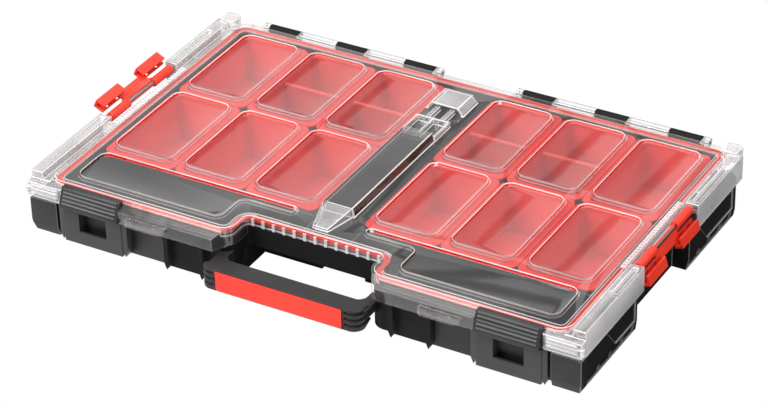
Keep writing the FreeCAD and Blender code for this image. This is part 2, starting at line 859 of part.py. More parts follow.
def make_latch_pin():
    half = latch_window_width / 2 + latch_side
    return rod_x(latch_centre_x - half, latch_centre_x + half,
                 latch_pivot_y, latch_pivot_z, latch_pin_radius)


# Bins, made at their own middle

def rounded_section(half_x, half_y, z, radius):
    points = [vec(x, y, z) for x, y in rectangle(-half_x, half_x, -half_y, half_y)]
    return rounded_wire(points, [radius] * 4)


def tapered_box(half_x, half_y, z0, z1, draft, radius):
    low = rounded_section(half_x - draft, half_y - draft, z0, radius - draft)
    high = rounded_section(half_x, half_y, z1, radius)
    return Part.makeLoft([low, high], True, True)


def bin_half_x():
    return (bin_pitch_x - bin_gap) / 2


def bin_half_y():
    return (bin_pitch_y - bin_gap) / 2


def make_bin():
    """Open bin with tapered walls, a flange round its mouth and a scoop at its front."""
    half_x = bin_half_x() - bin_flange
    half_y = bin_half_y() - bin_flange
    body = tapered_box(half_x, half_y, base_floor, bin_top, bin_draft, bin_corner)
    inside = tapered_box(half_x - bin_wall, half_y - bin_wall, base_floor + bin_floor, bin_top,
                         bin_draft, bin_corner - bin_wall)
    flange = rounded_box(-bin_half_x(), bin_half_x(), -bin_half_y(), bin_half_y(),
                         bin_top - bin_flange_thick, bin_top, bin_corner)
    centre_y = -half_y + bin_draft + bin_wall + bin_scoop
    centre_z = base_floor + bin_floor + bin_scoop
    scoop = box(-half_x, half_x, -half_y, centre_y, base_floor, centre_z)
    scoop = scoop.cut(rod_x(-half_x - overrun, half_x + overrun, centre_y, centre_z, bin_scoop))
    scoop = scoop.common(body)
    cup = fuse([body, flange]).cut(inside)
    return fuse([cup, scoop])


def make_divider():
    """Upright plate across the middle of a bin, with a bead along its top."""
    half = bin_half_x() - bin_flange - bin_wall - bin_draft - divider_clearance
    low = base_floor + bin_floor
    top = bin_top - divider_below_top
    plate = box(-half, half, -divider_thick / 2, divider_thick / 2, low, top)
    bead = box(-half, half, -divider_bead / 2, divider_bead / 2, top - divider_bead_height, top)
    return plate.fuse(bead).removeSplitter()


# Lid

def window_places():
    """Middle of each window on the right side, in plan."""
    places = []
    for column in range(columns):
        for row in range(rows):
            places.append((centre_bay_half + bin_pitch_x * (column + 0.5),
                           bin_front_y + bin_pitch_y * (row + 0.5)))
    return places


def window_prism(place, grow, z0, z1):
    x, y = place
    half_x = window_width / 2 + grow
    half_y = window_length / 2 + grow
    return rounded_box(x - half_x, x + half_x, y - half_y, y + half_y, z0, z1, window_corner + grow)


def tray_window_prism(grow, z0, z1):
    """The window over a front tray, which narrows to a tip beside the handle."""
    inner = tray_window_inner_x - grow
    outer = tray_window_outer_x + grow
    step = tray_window_step_x - grow
    back = tray_window_back_y + grow
    middle = tray_window_step_y - grow
    front = tray_window_front_y - grow
    outline = [(inner, back), (inner, middle), (step, middle),
               (step, front), (outer, front), (outer, back)]
    tip = tray_window_tip + grow
    big = window_corner + grow
    radii = [tip, tip, window_corner - grow, big, big, big]
    return plan_prism(outline, z0, z1, radii)


def lid_windows():
    """Sunk panels and the pockets above them, for both sides."""
    panels = [tray_window_prism(window_wall, window_floor_bottom, lid_top)]
    pockets = [tray_window_prism(0, window_floor_top, lid_top + overrun)]
    for place in window_places():
        panels.append(window_prism(place, window_wall, window_floor_bottom, lid_top))
        pockets.append(window_prism(place, 0, window_floor_top, lid_top + overrun))
    return both_sides(panels), both_sides(pockets)


def front_edge():
    """Sloping front edge of the lid with its skirt, which the latches interrupt."""
    deck_edge = rim_front_y - deck_overhang
    low_top = lid_top - front_edge_drop
    inside = deck_edge + skirt_thick
    skirt_back = front_edge_y + skirt_thick
    profile = [(inside, lid_top), (deck_edge, lid_top), (front_edge_y, low_top),
               (front_edge_y, front_skirt_bottom), (skirt_back, front_skirt_bottom),
               (skirt_back, low_top - skirt_thick), (deck_edge, deck_bottom), (inside, deck_bottom)]
    return side_prism(profile, recess_flare_x, latch_inner_x - latch_side_play)


def corner_block():
    """Closed end of a rail at the front corner of the lid."""
    x0 = latch_outer_x + latch_side_play
    block = rounded_box(x0, rail_outer_x, corner_block_front_y, rim_front_y, skirt_bottom - skirt_thick,
                        corner_block_top, skirt_thick)
    hollow = box(x0 + skirt_thick, rail_outer_x - skirt_thick, corner_block_front_y + skirt_thick,
                 rim_front_y + overrun, rail_skirt_bottom - overrun, corner_block_top - skirt_thick)
    return block.cut(hollow).cut(rim_prism(base_flange + lid_clearance, 0, rim_top + lid_clearance))


def corner_trim():
    """Level ribs on the front of a corner block, and the round nub at its corner."""
    x0 = latch_outer_x + latch_side_play + corner_rib_inset
    x1 = rail_outer_x - corner_rib_inset
    pieces = []
    for i in range(corner_rib_count):
        z0 = corner_rib_first_z + i * corner_rib_pitch
        pieces.append(box(x0, x1, corner_block_front_y - corner_rib_reach,
                          corner_block_front_y + skirt_thick / 2, z0, z0 + corner_rib_height))
    nub = Part.makeCylinder(corner_nub_radius, corner_nub_top - corner_nub_bottom,
                            vec(rail_outer_x - corner_nub_in, corner_block_front_y + corner_nub_in,
                                corner_nub_bottom))
    hollow = box(latch_outer_x, rail_outer_x - skirt_thick, corner_block_front_y + skirt_thick,
                 rim_front_y, corner_nub_bottom - overrun, corner_nub_top + overrun)
    return pieces + [nub.cut(hollow)]


def recess_skirt():
    """Skirt of the lid round the recess for the handle."""
    ring = rim_ring(deck_overhang, deck_overhang - skirt_thick, recess_skirt_bottom, deck_bottom)
    keep = box(-recess_flare_x, recess_flare_x, rim_front_y - deck_overhang, rim_recess_y + deck_overhang,
               recess_skirt_bottom, deck_bottom)
    return ring.common(keep)


def cheek_block(outline, drop, z0):
    """Block over a plan outline whose top slopes down with the front edge of the lid."""
    deck_edge = rim_front_y - deck_overhang
    far_y = cheek_centre_y + overrun
    profile = [(front_edge_y, z0), (front_edge_y, lid_top - front_edge_drop - drop),
               (deck_edge, lid_top - drop), (far_y, lid_top - drop), (far_y, z0)]
    return plan_prism(outline, z0, lid_top).common(side_prism(profile, recess_half, latch_inner_x))


def recess_cheek():
    """Slanting end wall and cover between the recess and the front edge of the lid."""
    flare = recess_flare_x + skirt_thick
    outer = [(recess_flare_x, front_edge_y), (flare, front_edge_y), (cheek_centre_x, cheek_centre_y),
             (cheek_back_x, cheek_back_y)]
    far_x = cheek_centre_x + overrun
    skirt_back = front_edge_y + skirt_thick
    inner = [(flare, skirt_back), (far_x, skirt_back), (far_x, cheek_centre_y + overrun),
             (cheek_back_x + skirt_thick, cheek_back_y)]
    block = cheek_block(outer, 0, front_skirt_bottom)
    return block.cut(cheek_block(inner, skirt_thick, front_skirt_bottom - overrun))


def recess_side_skirt():
    """Skirt of the lid along the side of the recess, outside the wall of the base."""
    low = rim_ring(side_skirt_outer, side_skirt_inner, front_skirt_bottom, recess_skirt_bottom)
    high = rim_ring(side_skirt_outer, deck_overhang - overrun, recess_skirt_bottom, lid_top)
    keep = box(rim_recess_half - side_skirt_outer, recess_flare_x, cheek_back_y,
               recess_back_y - side_skirt_back_gap, front_skirt_bottom, lid_top)
    return fuse([low, high]).common(keep)


def rail_profile():
    """Outline of a side rail in X and Z: groove, inner wall, top and outer skirt."""
    start = rim_half_x + deck_overhang - rail_wall
    groove_low = deck_bottom - rail_groove_drop
    inner_face = rail_inner_x + rail_wall
    outer_face = rail_outer_x - rail_wall
    ceiling = rail_top - rail_wall
    return [(start, deck_bottom), (start, groove_low), (inner_face, groove_low), (inner_face, ceiling),
            (outer_face, ceiling), (outer_face, rail_skirt_bottom), (rail_outer_x, rail_skirt_bottom),
            (rail_outer_x, rail_top), (rail_inner_x, rail_top), (rail_inner_x, deck_bottom)]


def rail_shell():
    """One side rail with closed ends and the notch for the clip."""
    rail = fuse([end_prism(rail_profile(), rail_front_y, rail_back_y), rail_channel_bed(), rail_stop()])
    for cutter in rail_cutters():
        rail = rail.cut(cutter)
    low = deck_bottom - rail_groove_drop
    seat_end = clip_notch_half + clip_pin_seat
    spans = [(rail_front_y, rail_front_y + rail_wall), (-seat_end, -clip_notch_half),
             (clip_notch_half, seat_end), (rail_back_y - rail_wall, rail_back_y)]
    caps = [box(rail_inner_x, rail_outer_x, y0, y1, low, rail_top) for y0, y1 in spans]
    notch = box(rail_inner_x, rail_outer_x + overrun, -clip_notch_half, clip_notch_half,
                rail_skirt_bottom - overrun, rail_top + overrun)
    clear = clip_barrel_radius + 2 * clip_bore_clearance
    sweep = rod_y(-clip_notch_half, clip_notch_half, clip_axis_x, clip_axis_z, clear)
    seat = rod_y(-seat_end, seat_end, clip_axis_x, clip_axis_z, clip_pin_radius)
    return fuse([rail] + caps).cut(notch).cut(sweep).cut(seat)


def rail_cutters():
    """The channel along the top of a rail, and the slots beside its inner wall."""
    channel = box(rail_channel_inner_x, rail_channel_outer_x, rail_channel_front_y, rail_channel_back_y,
                  rail_top - rail_channel_depth, rail_top + overrun)
    slots = []
    length = rail_back_y - rail_front_y
    for start, end in rail_slot_shares:
        slots.append(box(rail_slot_inner_x, rail_slot_outer_x, rail_front_y + start * length,
                         rail_front_y + end * length,
                         deck_bottom - rail_groove_drop - rail_wall - overrun, lid_top + overrun))
    return [channel] + slots


def rail_channel_bed():
    """Thickening below the channel, so that the top of the rail stays closed."""
    return box(rail_channel_inner_x - rail_wall, rail_outer_x - rail_wall / 2,
               rail_channel_front_y - rail_wall, rail_channel_back_y + rail_wall,
               rail_top - rail_channel_depth - rail_wall, rail_top - rail_wall / 2)


def rail_stop():
    """Raised block at the rear end of a rail, hollow from below."""
    block = rounded_box(stop_inner_x, stop_outer_x, stop_front_y, stop_back_y, deck_bottom, stop_top,
                        stop_corner)
    hollow = rounded_box(stop_inner_x + rail_wall, stop_outer_x - rail_wall, stop_front_y + rail_wall,
                         stop_back_y - rail_wall, deck_bottom - overrun, stop_top - rail_wall,
                         stop_corner - rail_wall)
    return block.cut(hollow)


def ridge_solid(grow, y0, y1, z0, z1):
    foot = ridge_half_foot - grow
    crown = ridge_half_top - grow
    return end_prism([(-foot, z0), (foot, z0), (crown, z1), (-crown, z1)], y0, y1)


def centre_ridge():
    return ridge_solid(0, ridge_front_y, ridge_back_y, deck_bottom, ridge_top)


def centre_ridge_hollow():
    return ridge_solid(ridge_wall, ridge_front_y + ridge_wall, ridge_back_y - ridge_wall,
                       deck_bottom - overrun, ridge_top - ridge_wall)


def quad_section(half, y, z0, z1):
    points = [vec(-half, y, z0), vec(half, y, z0), vec(half, y, z1), vec(-half, y, z1)]
    return Part.makePolygon(points + points[:1])


def front_hood():
    """Hood that slopes from the front end of the ridge down to a narrow nose."""
    nose_y = ridge_front_y - hood_front_length
    wide = quad_section(ridge_half_top, ridge_front_y, deck_bottom, ridge_top)
    nose = quad_section(hood_front_half, nose_y, deck_bottom, lid_top + hood_front_nose)
    outside = Part.makeLoft([wide, nose], True, True)
    inner_wide = quad_section(ridge_half_top - ridge_wall, ridge_front_y, deck_bottom - overrun,
                              ridge_top - ridge_wall)
    inner_nose = quad_section(hood_front_half - ridge_wall, nose_y + ridge_wall, deck_bottom - overrun,
                              lid_top + hood_front_nose - ridge_wall)
    return outside, Part.makeLoft([inner_wide, inner_nose], True, True)


def rear_frames():
    """Two small upright frames behind the ridge, with braces to the rear hood."""
    y0 = ridge_back_y
    y1 = ridge_back_y + frame_length
    top = lid_top + frame_height
    low = deck_bottom
    pieces = []
    for x in (-ridge_half_foot, -frame_rib / 2, ridge_half_foot - frame_rib):
        pieces.append(box(x, x + frame_rib, y0, y1, low, top))
    pieces.append(box(-ridge_half_foot, ridge_half_foot, y1 - frame_rib, y1, low, top))
    for side in (-1, 1):
        x = side * ridge_half_top / 2
        brace = [(x - brace_width / 2, low), (x + brace_width / 2, low),
                 (x + brace_width / 2, lid_top + brace_height),
                 (x - brace_width / 2, lid_top + brace_height)]
        pieces.append(end_prism(brace, y1 - frame_rib, hood_back_start + ridge_wall))
    return pieces


def make_lid_hood():
    """Arch near the back of the lid, open towards the front and the back."""
    crown = lid_top + hood_back_rise
    foot = hood_back_half
    shoulder = hood_shoulder_half
    outer = end_prism([(-foot, lid_top), (foot, lid_top), (shoulder, crown), (-shoulder, crown)],
                      hood_back_start, hood_back_end)
    foot = foot - ridge_wall
    shoulder = shoulder - ridge_wall
    inner = end_prism([(-foot, lid_top - overrun), (foot, lid_top - overrun), (foot, lid_top),
                       (shoulder, crown - ridge_wall), (-shoulder, crown - ridge_wall), (-foot, lid_top)],
                      hood_back_start - overrun, hood_back_end + overrun)
    return outer.cut(inner)


def padlock_eye():
    """Tab with a slot for a padlock, on the front skirt."""
    front = front_edge_y - eye_reach
    outline = [(eye_inner_x, front_edge_y + skirt_thick / 2), (eye_inner_x, front), (eye_outer_x, front),
               (eye_outer_x, front_edge_y + skirt_thick / 2)]
    tab = plan_prism(outline, eye_top - eye_thick, eye_top, [0, eye_corner, eye_corner, 0])
    middle_x = (eye_inner_x + eye_outer_x) / 2
    middle_y = front_edge_y - eye_reach / 2
    half_x = eye_slot_length / 2
    half_y = eye_slot_width / 2
    slot = rounded_box(middle_x - half_x, middle_x + half_x, middle_y - half_y, middle_y + half_y,
                       eye_top - eye_thick - overrun, eye_top + overrun,
                       half_y * eye_slot_round_share)
    return tab.cut(slot)


def lid_knuckle_spans():
    """Start and end along X of each knuckle of the lid on the right side."""
    half = base_knuckle_width / 2
    centres = knuckle_centres()
    spans = [(centres[0] - half - knuckle_gap - lid_end_knuckle, centres[0] - half - knuckle_gap)]
    for left, right in zip(centres, centres[1:]):
        spans.append((left + half + knuckle_gap, right - half - knuckle_gap))
    spans.append((centres[-1] + half + knuckle_gap, centres[-1] + half + knuckle_gap + lid_end_knuckle))
    return spans


def lid_knuckles():
    pieces = []
    for x0, x1 in lid_knuckle_spans():
        barrel = rod_x(x0, x1, hinge_axis_y, hinge_axis_z, knuckle_radius)
        arm = box(x0, x1, rim_back_y, hinge_axis_y, deck_bottom, lid_top)
        pieces.append(barrel.fuse(arm))
    return both_sides(pieces)


def lid_room():
    """Room that the deck takes up, with all that lies below it."""
    return rim_prism(deck_overhang, 0, lid_top)


def make_lid_cover():
    """Deck with sunk windows, seal band, recess skirt and hinge knuckles."""
    deck = rim_prism(deck_overhang, deck_bottom, lid_top)
    band = rim_ring(seal_band_half, -seal_band_half, seal_band_bottom, deck_bottom)
    groove = rim_ring(gasket_width / 2, -gasket_width / 2, seal_band_bottom - overrun, gasket_top)
    panels, pockets = lid_windows()
    lid = fuse([deck, band, recess_skirt()])
    for group in (panels, lid_knuckles()):
        lid = fuse([lid] + group)
    for cutter in pockets + [groove, centre_ridge_hollow(), front_hood()[1]]:
        lid = lid.cut(cutter)
    return lid.cut(hinge_bore(-base_outer_x, base_outer_x, hinge_bore_clearance))


def make_lid_ridge():
    """Hollow ridge along the middle of the lid, with its front hood and rear frames."""
    hood, hood_hollow = front_hood()
    above = box(-rim_half_x, rim_half_x, rim_front_y, rim_back_y, lid_top, ridge_top)
    ridge = fuse([centre_ridge(), hood] + rear_frames())
    return ridge.common(above).cut(centre_ridge_hollow()).cut(hood_hollow)


def make_lid_front():
    """Front edge of the lid beside the handle, with its end wall, side skirt and padlock eye."""
    front = fuse([front_edge(), recess_cheek(), recess_side_skirt(), padlock_eye()])
    return front.cut(lid_room()).cut(rim_prism(side_skirt_inner, 0, recess_skirt_bottom))


def make_lid_rail():
    """Side rail of the lid with its rear stop and the block at its front corner."""
    rail = fuse([rail_shell(), corner_block()])
    return fuse([rail] + corner_trim()).cut(lid_room())


def make_lid_gasket():
    return rim_ring(gasket_width / 2, -gasket_width / 2, gasket_bottom, gasket_top)


def make_hinge_pin():
    spans = lid_knuckle_spans()
    return rod_x(spans[0][0], spans[-1][1], hinge_axis_y, hinge_axis_z, hinge_pin_radius)


# Side clips, made flat on the right side with the plate pointing outwards

def clip_pad(y0, y1):
    """Pad of the clip: two holes, and a lip that hooks back over its outer face."""
    tip = clip_axis_x + clip_reach
    low = clip_axis_z - clip_plate / 2
    high = clip_axis_z + clip_plate / 2
    hook_top = high + clip_hook_out
    start = clip_axis_x + clip_slot_out + clip_slot
    lip_end = tip - clip_hook_back
    lip_low = hook_top - clip_hook_wall
    inner = tip - clip_hook_wall
    hook = [(start, low), (tip, low), (tip, hook_top), (lip_end, hook_top), (lip_end, lip_low),
            (inner, lip_low), (inner, high), (start, high)]
    pad = end_prism(hook, y0, y1)
    half = clip_hole / 2
    for share in clip_hole_shares:
        y = y0 + (y1 - y0) * share
        x = clip_axis_x + clip_hole_out
        pad = pad.cut(box(x - half, x + half, y - half, y + half, low - overrun, high + overrun))
    return pad


def make_clip_flat():
    """Clip with two barrels, a web between them and a pad at each end."""
    low = clip_axis_z - clip_plate / 2
    high = clip_axis_z + clip_plate / 2
    pads = [clip_pad(-clip_half_length, -clip_half_length + clip_pad_length),
            clip_pad(clip_half_length - clip_pad_length, clip_half_length)]
    web_half = clip_half_length - clip_barrel_length
    web = box(clip_axis_x, clip_axis_x + clip_web_reach, -web_half, web_half, low, high)
    neck = web_half - clip_slot
    spine = box(clip_axis_x - clip_plate, clip_axis_x + clip_slot_out, -web_half - clip_slot,
                web_half + clip_slot, low, high)
    link = box(clip_axis_x + clip_slot_out, clip_axis_x + clip_web_reach, -neck - clip_slot,
               neck + clip_slot, low, high)
    barrels = [rod_y(-clip_half_length, -web_half, clip_axis_x, clip_axis_z, clip_barrel_radius),
               rod_y(web_half, clip_half_length, clip_axis_x, clip_axis_z, clip_barrel_radius)]
    clip = fuse(pads + [web, spine, link] + barrels)
    bore = rod_y(-clip_half_length - overrun, clip_half_length + overrun, clip_axis_x, clip_axis_z,
                 clip_pin_radius + clip_bore_clearance)
    return clip.cut(bore)


def tilted_clip(tilt):
    """The flat clip turned on its axis: a positive tilt lifts its outer edge."""
    clip = make_clip_flat()
    clip.rotate(vec(clip_axis_x, 0, clip_axis_z), y_axis, -tilt)
    return clip


def make_clip_pin():
    return rod_y(-clip_notch_half - clip_pin_seat, clip_notch_half + clip_pin_seat,
                 clip_axis_x, clip_axis_z, clip_pin_radius)


def save(name, shape):
    shape.exportStep(f"parts/{name}.step")
    print(name, "valid", shape.isValid(), "solids", len(shape.Solids), "volume", round(shape.Volume))


def save_pair(name, shape):
    save(f"{name}_right", shape)
    save(f"{name}_left", mirrored(shape))


def main():
    os.makedirs("parts", exist_ok=True)
    save("base_tub", make_base_tub())
    save("base_floor", make_base_floor())
    save("sealing_rim", make_sealing_rim())
    save_pair("front_foot", make_front_foot())
    save_pair("rear_foot", make_rear_foot())
    save_pair("front_panel", make_front_panel())
    save_pair("tray_wall", tray_wall())
    save("bay_wall_right", bay_wall(1))
    save("bay_wall_left", bay_wall(-1))
    save("carry_handle", make_carry_handle())
    save("handle_inlay", make_handle_inlay())
    save_pair("latch_frame", make_latch_frame())
    save_pair("latch_lever", make_latch_lever())
    save_pair("latch_pin", make_latch_pin())
    save("lid_cover", make_lid_cover())
    save("lid_ridge", make_lid_ridge())
    save("lid_hood", make_lid_hood())
    save_pair("lid_front", make_lid_front())
    save_pair("lid_rail", make_lid_rail())
    save("lid_gasket", make_lid_gasket())
    save_pair("hinge_pin", make_hinge_pin())
    save("side_clip_right", tilted_clip(clip_closed_tilt))
    save("side_clip_left", mirrored(tilted_clip(clip_open_tilt)))
    save_pair("clip_pin", make_clip_pin())
    divided = ("bin_left_back_2", "bin_left_back_3", "bin_right_back_1", "bin_right_back_2")
    for name, x, y in bin_cells():
        save(name, make_bin().translated(vec(x, y, 0)))
        if name in divided:
            save(name.replace("bin", "divider"), make_divider().translated(vec(x, y, 0)))


main()
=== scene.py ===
# %% [markdown]
# # Organizer box
# A wide, flat box for small parts. A black base carries twelve red bins under a clear
# lid, with a handle and two latches at the front and a red clip on each side.
# The solids come packed from the construction drawing, in metres, already in place.
# This lesson dresses them: camera, light, finishes, rounded edges and small trim.

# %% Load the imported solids
import bpy
import bmesh
import json
import math
from mathutils import Matrix, Vector
from mathutils.bvhtree import BVHTree

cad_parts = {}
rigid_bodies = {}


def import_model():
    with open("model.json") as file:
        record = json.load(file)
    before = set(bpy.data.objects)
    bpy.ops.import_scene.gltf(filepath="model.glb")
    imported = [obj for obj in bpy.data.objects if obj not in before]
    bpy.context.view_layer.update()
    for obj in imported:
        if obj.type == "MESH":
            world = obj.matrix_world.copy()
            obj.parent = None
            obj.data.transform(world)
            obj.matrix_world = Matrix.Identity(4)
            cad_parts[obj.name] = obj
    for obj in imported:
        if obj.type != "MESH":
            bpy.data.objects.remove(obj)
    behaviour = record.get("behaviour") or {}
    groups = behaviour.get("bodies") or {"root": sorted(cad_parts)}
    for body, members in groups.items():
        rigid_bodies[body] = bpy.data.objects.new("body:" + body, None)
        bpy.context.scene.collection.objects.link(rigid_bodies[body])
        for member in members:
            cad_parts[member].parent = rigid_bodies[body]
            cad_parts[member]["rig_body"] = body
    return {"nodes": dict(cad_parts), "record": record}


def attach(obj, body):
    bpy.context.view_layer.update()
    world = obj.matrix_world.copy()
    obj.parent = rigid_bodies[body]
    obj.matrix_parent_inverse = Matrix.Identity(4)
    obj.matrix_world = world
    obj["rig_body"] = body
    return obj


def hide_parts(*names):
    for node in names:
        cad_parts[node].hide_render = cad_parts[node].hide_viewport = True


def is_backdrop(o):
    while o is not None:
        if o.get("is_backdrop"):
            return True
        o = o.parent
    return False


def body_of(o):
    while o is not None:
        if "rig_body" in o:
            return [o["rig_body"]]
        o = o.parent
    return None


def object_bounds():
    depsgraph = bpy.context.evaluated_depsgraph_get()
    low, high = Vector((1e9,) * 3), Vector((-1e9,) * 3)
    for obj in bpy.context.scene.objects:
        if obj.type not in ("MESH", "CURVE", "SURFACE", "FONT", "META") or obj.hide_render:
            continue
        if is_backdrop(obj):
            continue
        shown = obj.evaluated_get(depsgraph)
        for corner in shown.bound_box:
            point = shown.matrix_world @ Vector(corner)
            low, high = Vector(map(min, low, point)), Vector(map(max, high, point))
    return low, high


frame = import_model()
solid_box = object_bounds()

# %% [markdown]
# ## Camera
# The photograph looks down on the front right corner with a long lens, so the box
# shows little perspective. The place and turn of the camera were worked out from the
# regular grid of lid windows. A camera looks along its own negative Z axis, so its
# matrix is made of three directions: right, up, and back towards the viewer.

# %% Camera
camera_place = Vector((1.21167, -2.08050, 1.53185))
camera_azimuth = math.radians(30.40)
camera_height_angle = math.radians(32.27)
camera_roll = math.radians(-1.52)
camera_lens = 141.897


def camera_matrix():
    """Turn and place of the camera from its azimuth, height angle and roll."""
    a, e, r = camera_azimuth, camera_height_angle, camera_roll
    right = Vector((math.cos(a), math.sin(a), 0))
    back = Vector((math.sin(a) * math.cos(e), -math.cos(a) * math.cos(e), math.sin(e)))
    up = back.cross(right)
    rolled_right = right * math.cos(r) + up * math.sin(r)
    rolled_up = up * math.cos(r) - right * math.sin(r)
    turn = Matrix((rolled_right, rolled_up, back)).transposed()
    return Matrix.Translation(camera_place) @ turn.to_4x4()


camera_data = bpy.data.cameras.new("studio_camera")
camera_data.sensor_width = 36
camera_data.lens = camera_lens
camera_data.clip_end = 30
camera = bpy.data.objects.new("studio_camera", camera_data)
camera.matrix_world = camera_matrix()
bpy.context.scene.collection.objects.link(camera)
bpy.context.scene.camera = camera
print("camera at", tuple(round(c, 3) for c in camera.location))

# %% [markdown]
# ## Floor and light
# The box was photographed on white with soft light. The floor shines white by itself,
# and only the camera sees it, so it throws no light up under the dark feet.
# Flat glass-like plastic shows whatever lies in its mirror direction. A large pale
# panel stands there, behind the box on the left, and lays a veil of white over the lid
# that fades towards the right. A second panel lights the bins from the front left, a
# third from above, and a low one gives the black front its grey. On the right the
# photograph shows almost black sides, so the panel there gives no reflections.

# %% Glowing sheets


def fresh_material(name):
    """Empty material: its tree, its output node and the Object coordinates."""
    material = bpy.data.materials.new(name)
    material.use_nodes = True
    tree = material.node_tree
    tree.nodes.clear()
    output = tree.nodes.new("ShaderNodeOutputMaterial")
    place = tree.nodes.new("ShaderNodeTexCoord")
    return material, tree, output, place.outputs["Object"]


def glowing_sheet(name, material_name, corners):
    """Flat sheet that glows white, its tree, its glow node and its Object coordinates."""
    material, tree, output, place = fresh_material(material_name)
    glow = tree.nodes.new("ShaderNodeEmission")
    glow.inputs["Color"].default_value = (1.0, 1.0, 1.0, 1.0)
    tree.links.new(glow.outputs[0], output.inputs["Surface"])
    mesh = bpy.data.meshes.new(name)
    mesh.from_pydata(corners, [], [(0, 1, 2, 3)])
    mesh.materials.append(material)
    sheet = bpy.data.objects.new(name, mesh)
    bpy.context.scene.collection.objects.link(sheet)
    return sheet, tree, glow, place


# %% Floor
floor_half = 7.0
floor_height = -0.0006
floor_corners = [(x, y, floor_height) for x, y in ((-floor_half, -floor_half), (floor_half, -floor_half),
                                                   (floor_half, floor_half), (-floor_half, floor_half))]
floor = glowing_sheet("floor", "pale_floor", floor_corners)[0]
floor.visible_diffuse = False
floor.visible_glossy = False
floor.visible_shadow = False
floor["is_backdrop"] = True
print("floor", 2 * floor_half, "m wide")

# %% World and soft panels
lid_middle = Vector((0.0, 0.0, 0.057))
horizon_end = 0.35


def world_light(sky, ground):
    """Grey surroundings, brighter above the horizon than below it."""
    world = bpy.data.worlds.new("studio")
    bpy.context.scene.world = world
    world.use_nodes = True
    tree = world.node_tree
    tree.nodes.clear()
    output = tree.nodes.new("ShaderNodeOutputWorld")
    background = tree.nodes.new("ShaderNodeBackground")
    place = tree.nodes.new("ShaderNodeTexCoord")
    split = tree.nodes.new("ShaderNodeSeparateXYZ")
    ramp = tree.nodes.new("ShaderNodeValToRGB")
    ramp.color_ramp.elements[0].position = 0.0
    ramp.color_ramp.elements[0].color = (ground, ground, ground, 1)
    ramp.color_ramp.elements[1].position = horizon_end
    ramp.color_ramp.elements[1].color = (sky, sky, sky, 1)
    tree.links.new(place.outputs["Generated"], split.inputs[0])
    tree.links.new(split.outputs["Z"], ramp.inputs[0])
    tree.links.new(ramp.outputs[0], background.inputs["Color"])
    tree.links.new(background.outputs[0], output.inputs["Surface"])


def aimed(place, aim):
    """Matrix of a panel at a place that faces a point."""
    direction = Vector(aim) - Vector(place)
    return Matrix.Translation(place) @ direction.to_track_quat("-Z", "Y").to_matrix().to_4x4()


def soft_panel(name, place, aim, width, height, brightness, mirrored=True):
    """Area light turned towards a point, with an even brightness over its face."""
    data = bpy.data.lights.new(name, "AREA")
    data.shape = "RECTANGLE"
    data.size = width
    data.size_y = height
    data.energy = brightness * math.pi * width * height
    panel = bpy.data.objects.new(name, data)
    panel.matrix_world = aimed(place, aim)
    panel.visible_camera = False
    panel.visible_glossy = mirrored
    bpy.context.scene.collection.objects.link(panel)
    return panel


def fading_panel(name, place, aim, width, height, steps):
    """Glowing card whose brightness follows steps of (share of the width, brightness)."""
    x, y = width / 2, height / 2
    corners = [(-x, -y, 0), (-x, y, 0), (x, y, 0), (x, -y, 0)]
    card, tree, glow, coordinates = glowing_sheet(name, name, corners)
    split = tree.nodes.new("ShaderNodeSeparateXYZ")
    share = tree.nodes.new("ShaderNodeMapRange")
    share.inputs["From Min"].default_value = -x
    share.inputs["From Max"].default_value = x
    ramp = tree.nodes.new("ShaderNodeValToRGB")
    ramp.color_ramp.interpolation = "EASE"
    for at, brightness in steps[1:-1]:
        ramp.color_ramp.elements.new(at)
    for element, (at, brightness) in zip(ramp.color_ramp.elements, steps):
        element.position = at
        element.color = (brightness, brightness, brightness, 1)
    tree.links.new(coordinates, split.inputs[0])
    tree.links.new(split.outputs["X"], share.inputs["Value"])
    tree.links.new(share.outputs["Result"], ramp.inputs[0])
    tree.links.new(ramp.outputs[0], glow.inputs["Color"])
    card.matrix_world = aimed(place, aim)
    card.visible_camera = False
    card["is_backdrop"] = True
    return card


# %% Light the studio
veil_steps = [(0.0, 0.60), (0.22, 0.60), (0.28, 0.18), (0.32, 0.26), (0.362, 0.82), (1.0, 0.82)]
world_light(sky=0.45, ground=0.03)
fading_panel("veil_panel", (-1.86, 2.84, 2.19), (-0.15, -0.08, 0.057), 2.7, 2.5, veil_steps)
soft_panel("right_panel", (2.4, -0.4, 0.5), lid_middle, 1.6, 0.9, 4.5, mirrored=False)
soft_panel("key_panel", (-1.6, -2.2, 2.3), lid_middle, 1.6, 1.6, 11.0)
soft_panel("top_panel", (0.0, 0.0, 2.6), lid_middle, 3.2, 3.2, 2.2)
soft_panel("low_panel", (-0.20, -0.66, -0.0003), (-0.20, -0.66, 1.0), 1.4, 0.98, 1.1)
scene = bpy.context.scene
scene.view_settings.view_transform = "Standard"
scene.cycles.transparent_max_bounces = 32
scene.cycles.max_bounces = 10

# %% [markdown]
# ## Finishes
# Every finish is a small tree of nodes on Object coordinates, so the grain lies in the
# plastic and not on the screen. Moulded plastic is never quite even: its colour drifts
# by a few percent over centimetres, its gloss by a little more, and its skin has a
# grain finer than a millimetre. One recipe with different numbers serves every plain
# plastic, because they differ only in colour, gloss and grain.

# %% Recipe for moulded plastic


def noise(tree, coordinates, scale, detail=2.0, roughness=0.5):
    """Cloudy value between 0 and 1 that changes over 1 / scale metres."""
    node = tree.nodes.new("ShaderNodeTexNoise")
    node.inputs["Scale"].default_value = scale
    node.inputs["Detail"].default_value = detail
    node.inputs["Roughness"].default_value = roughness
    tree.links.new(coordinates, node.inputs["Vector"])
    return node.outputs["Fac"]


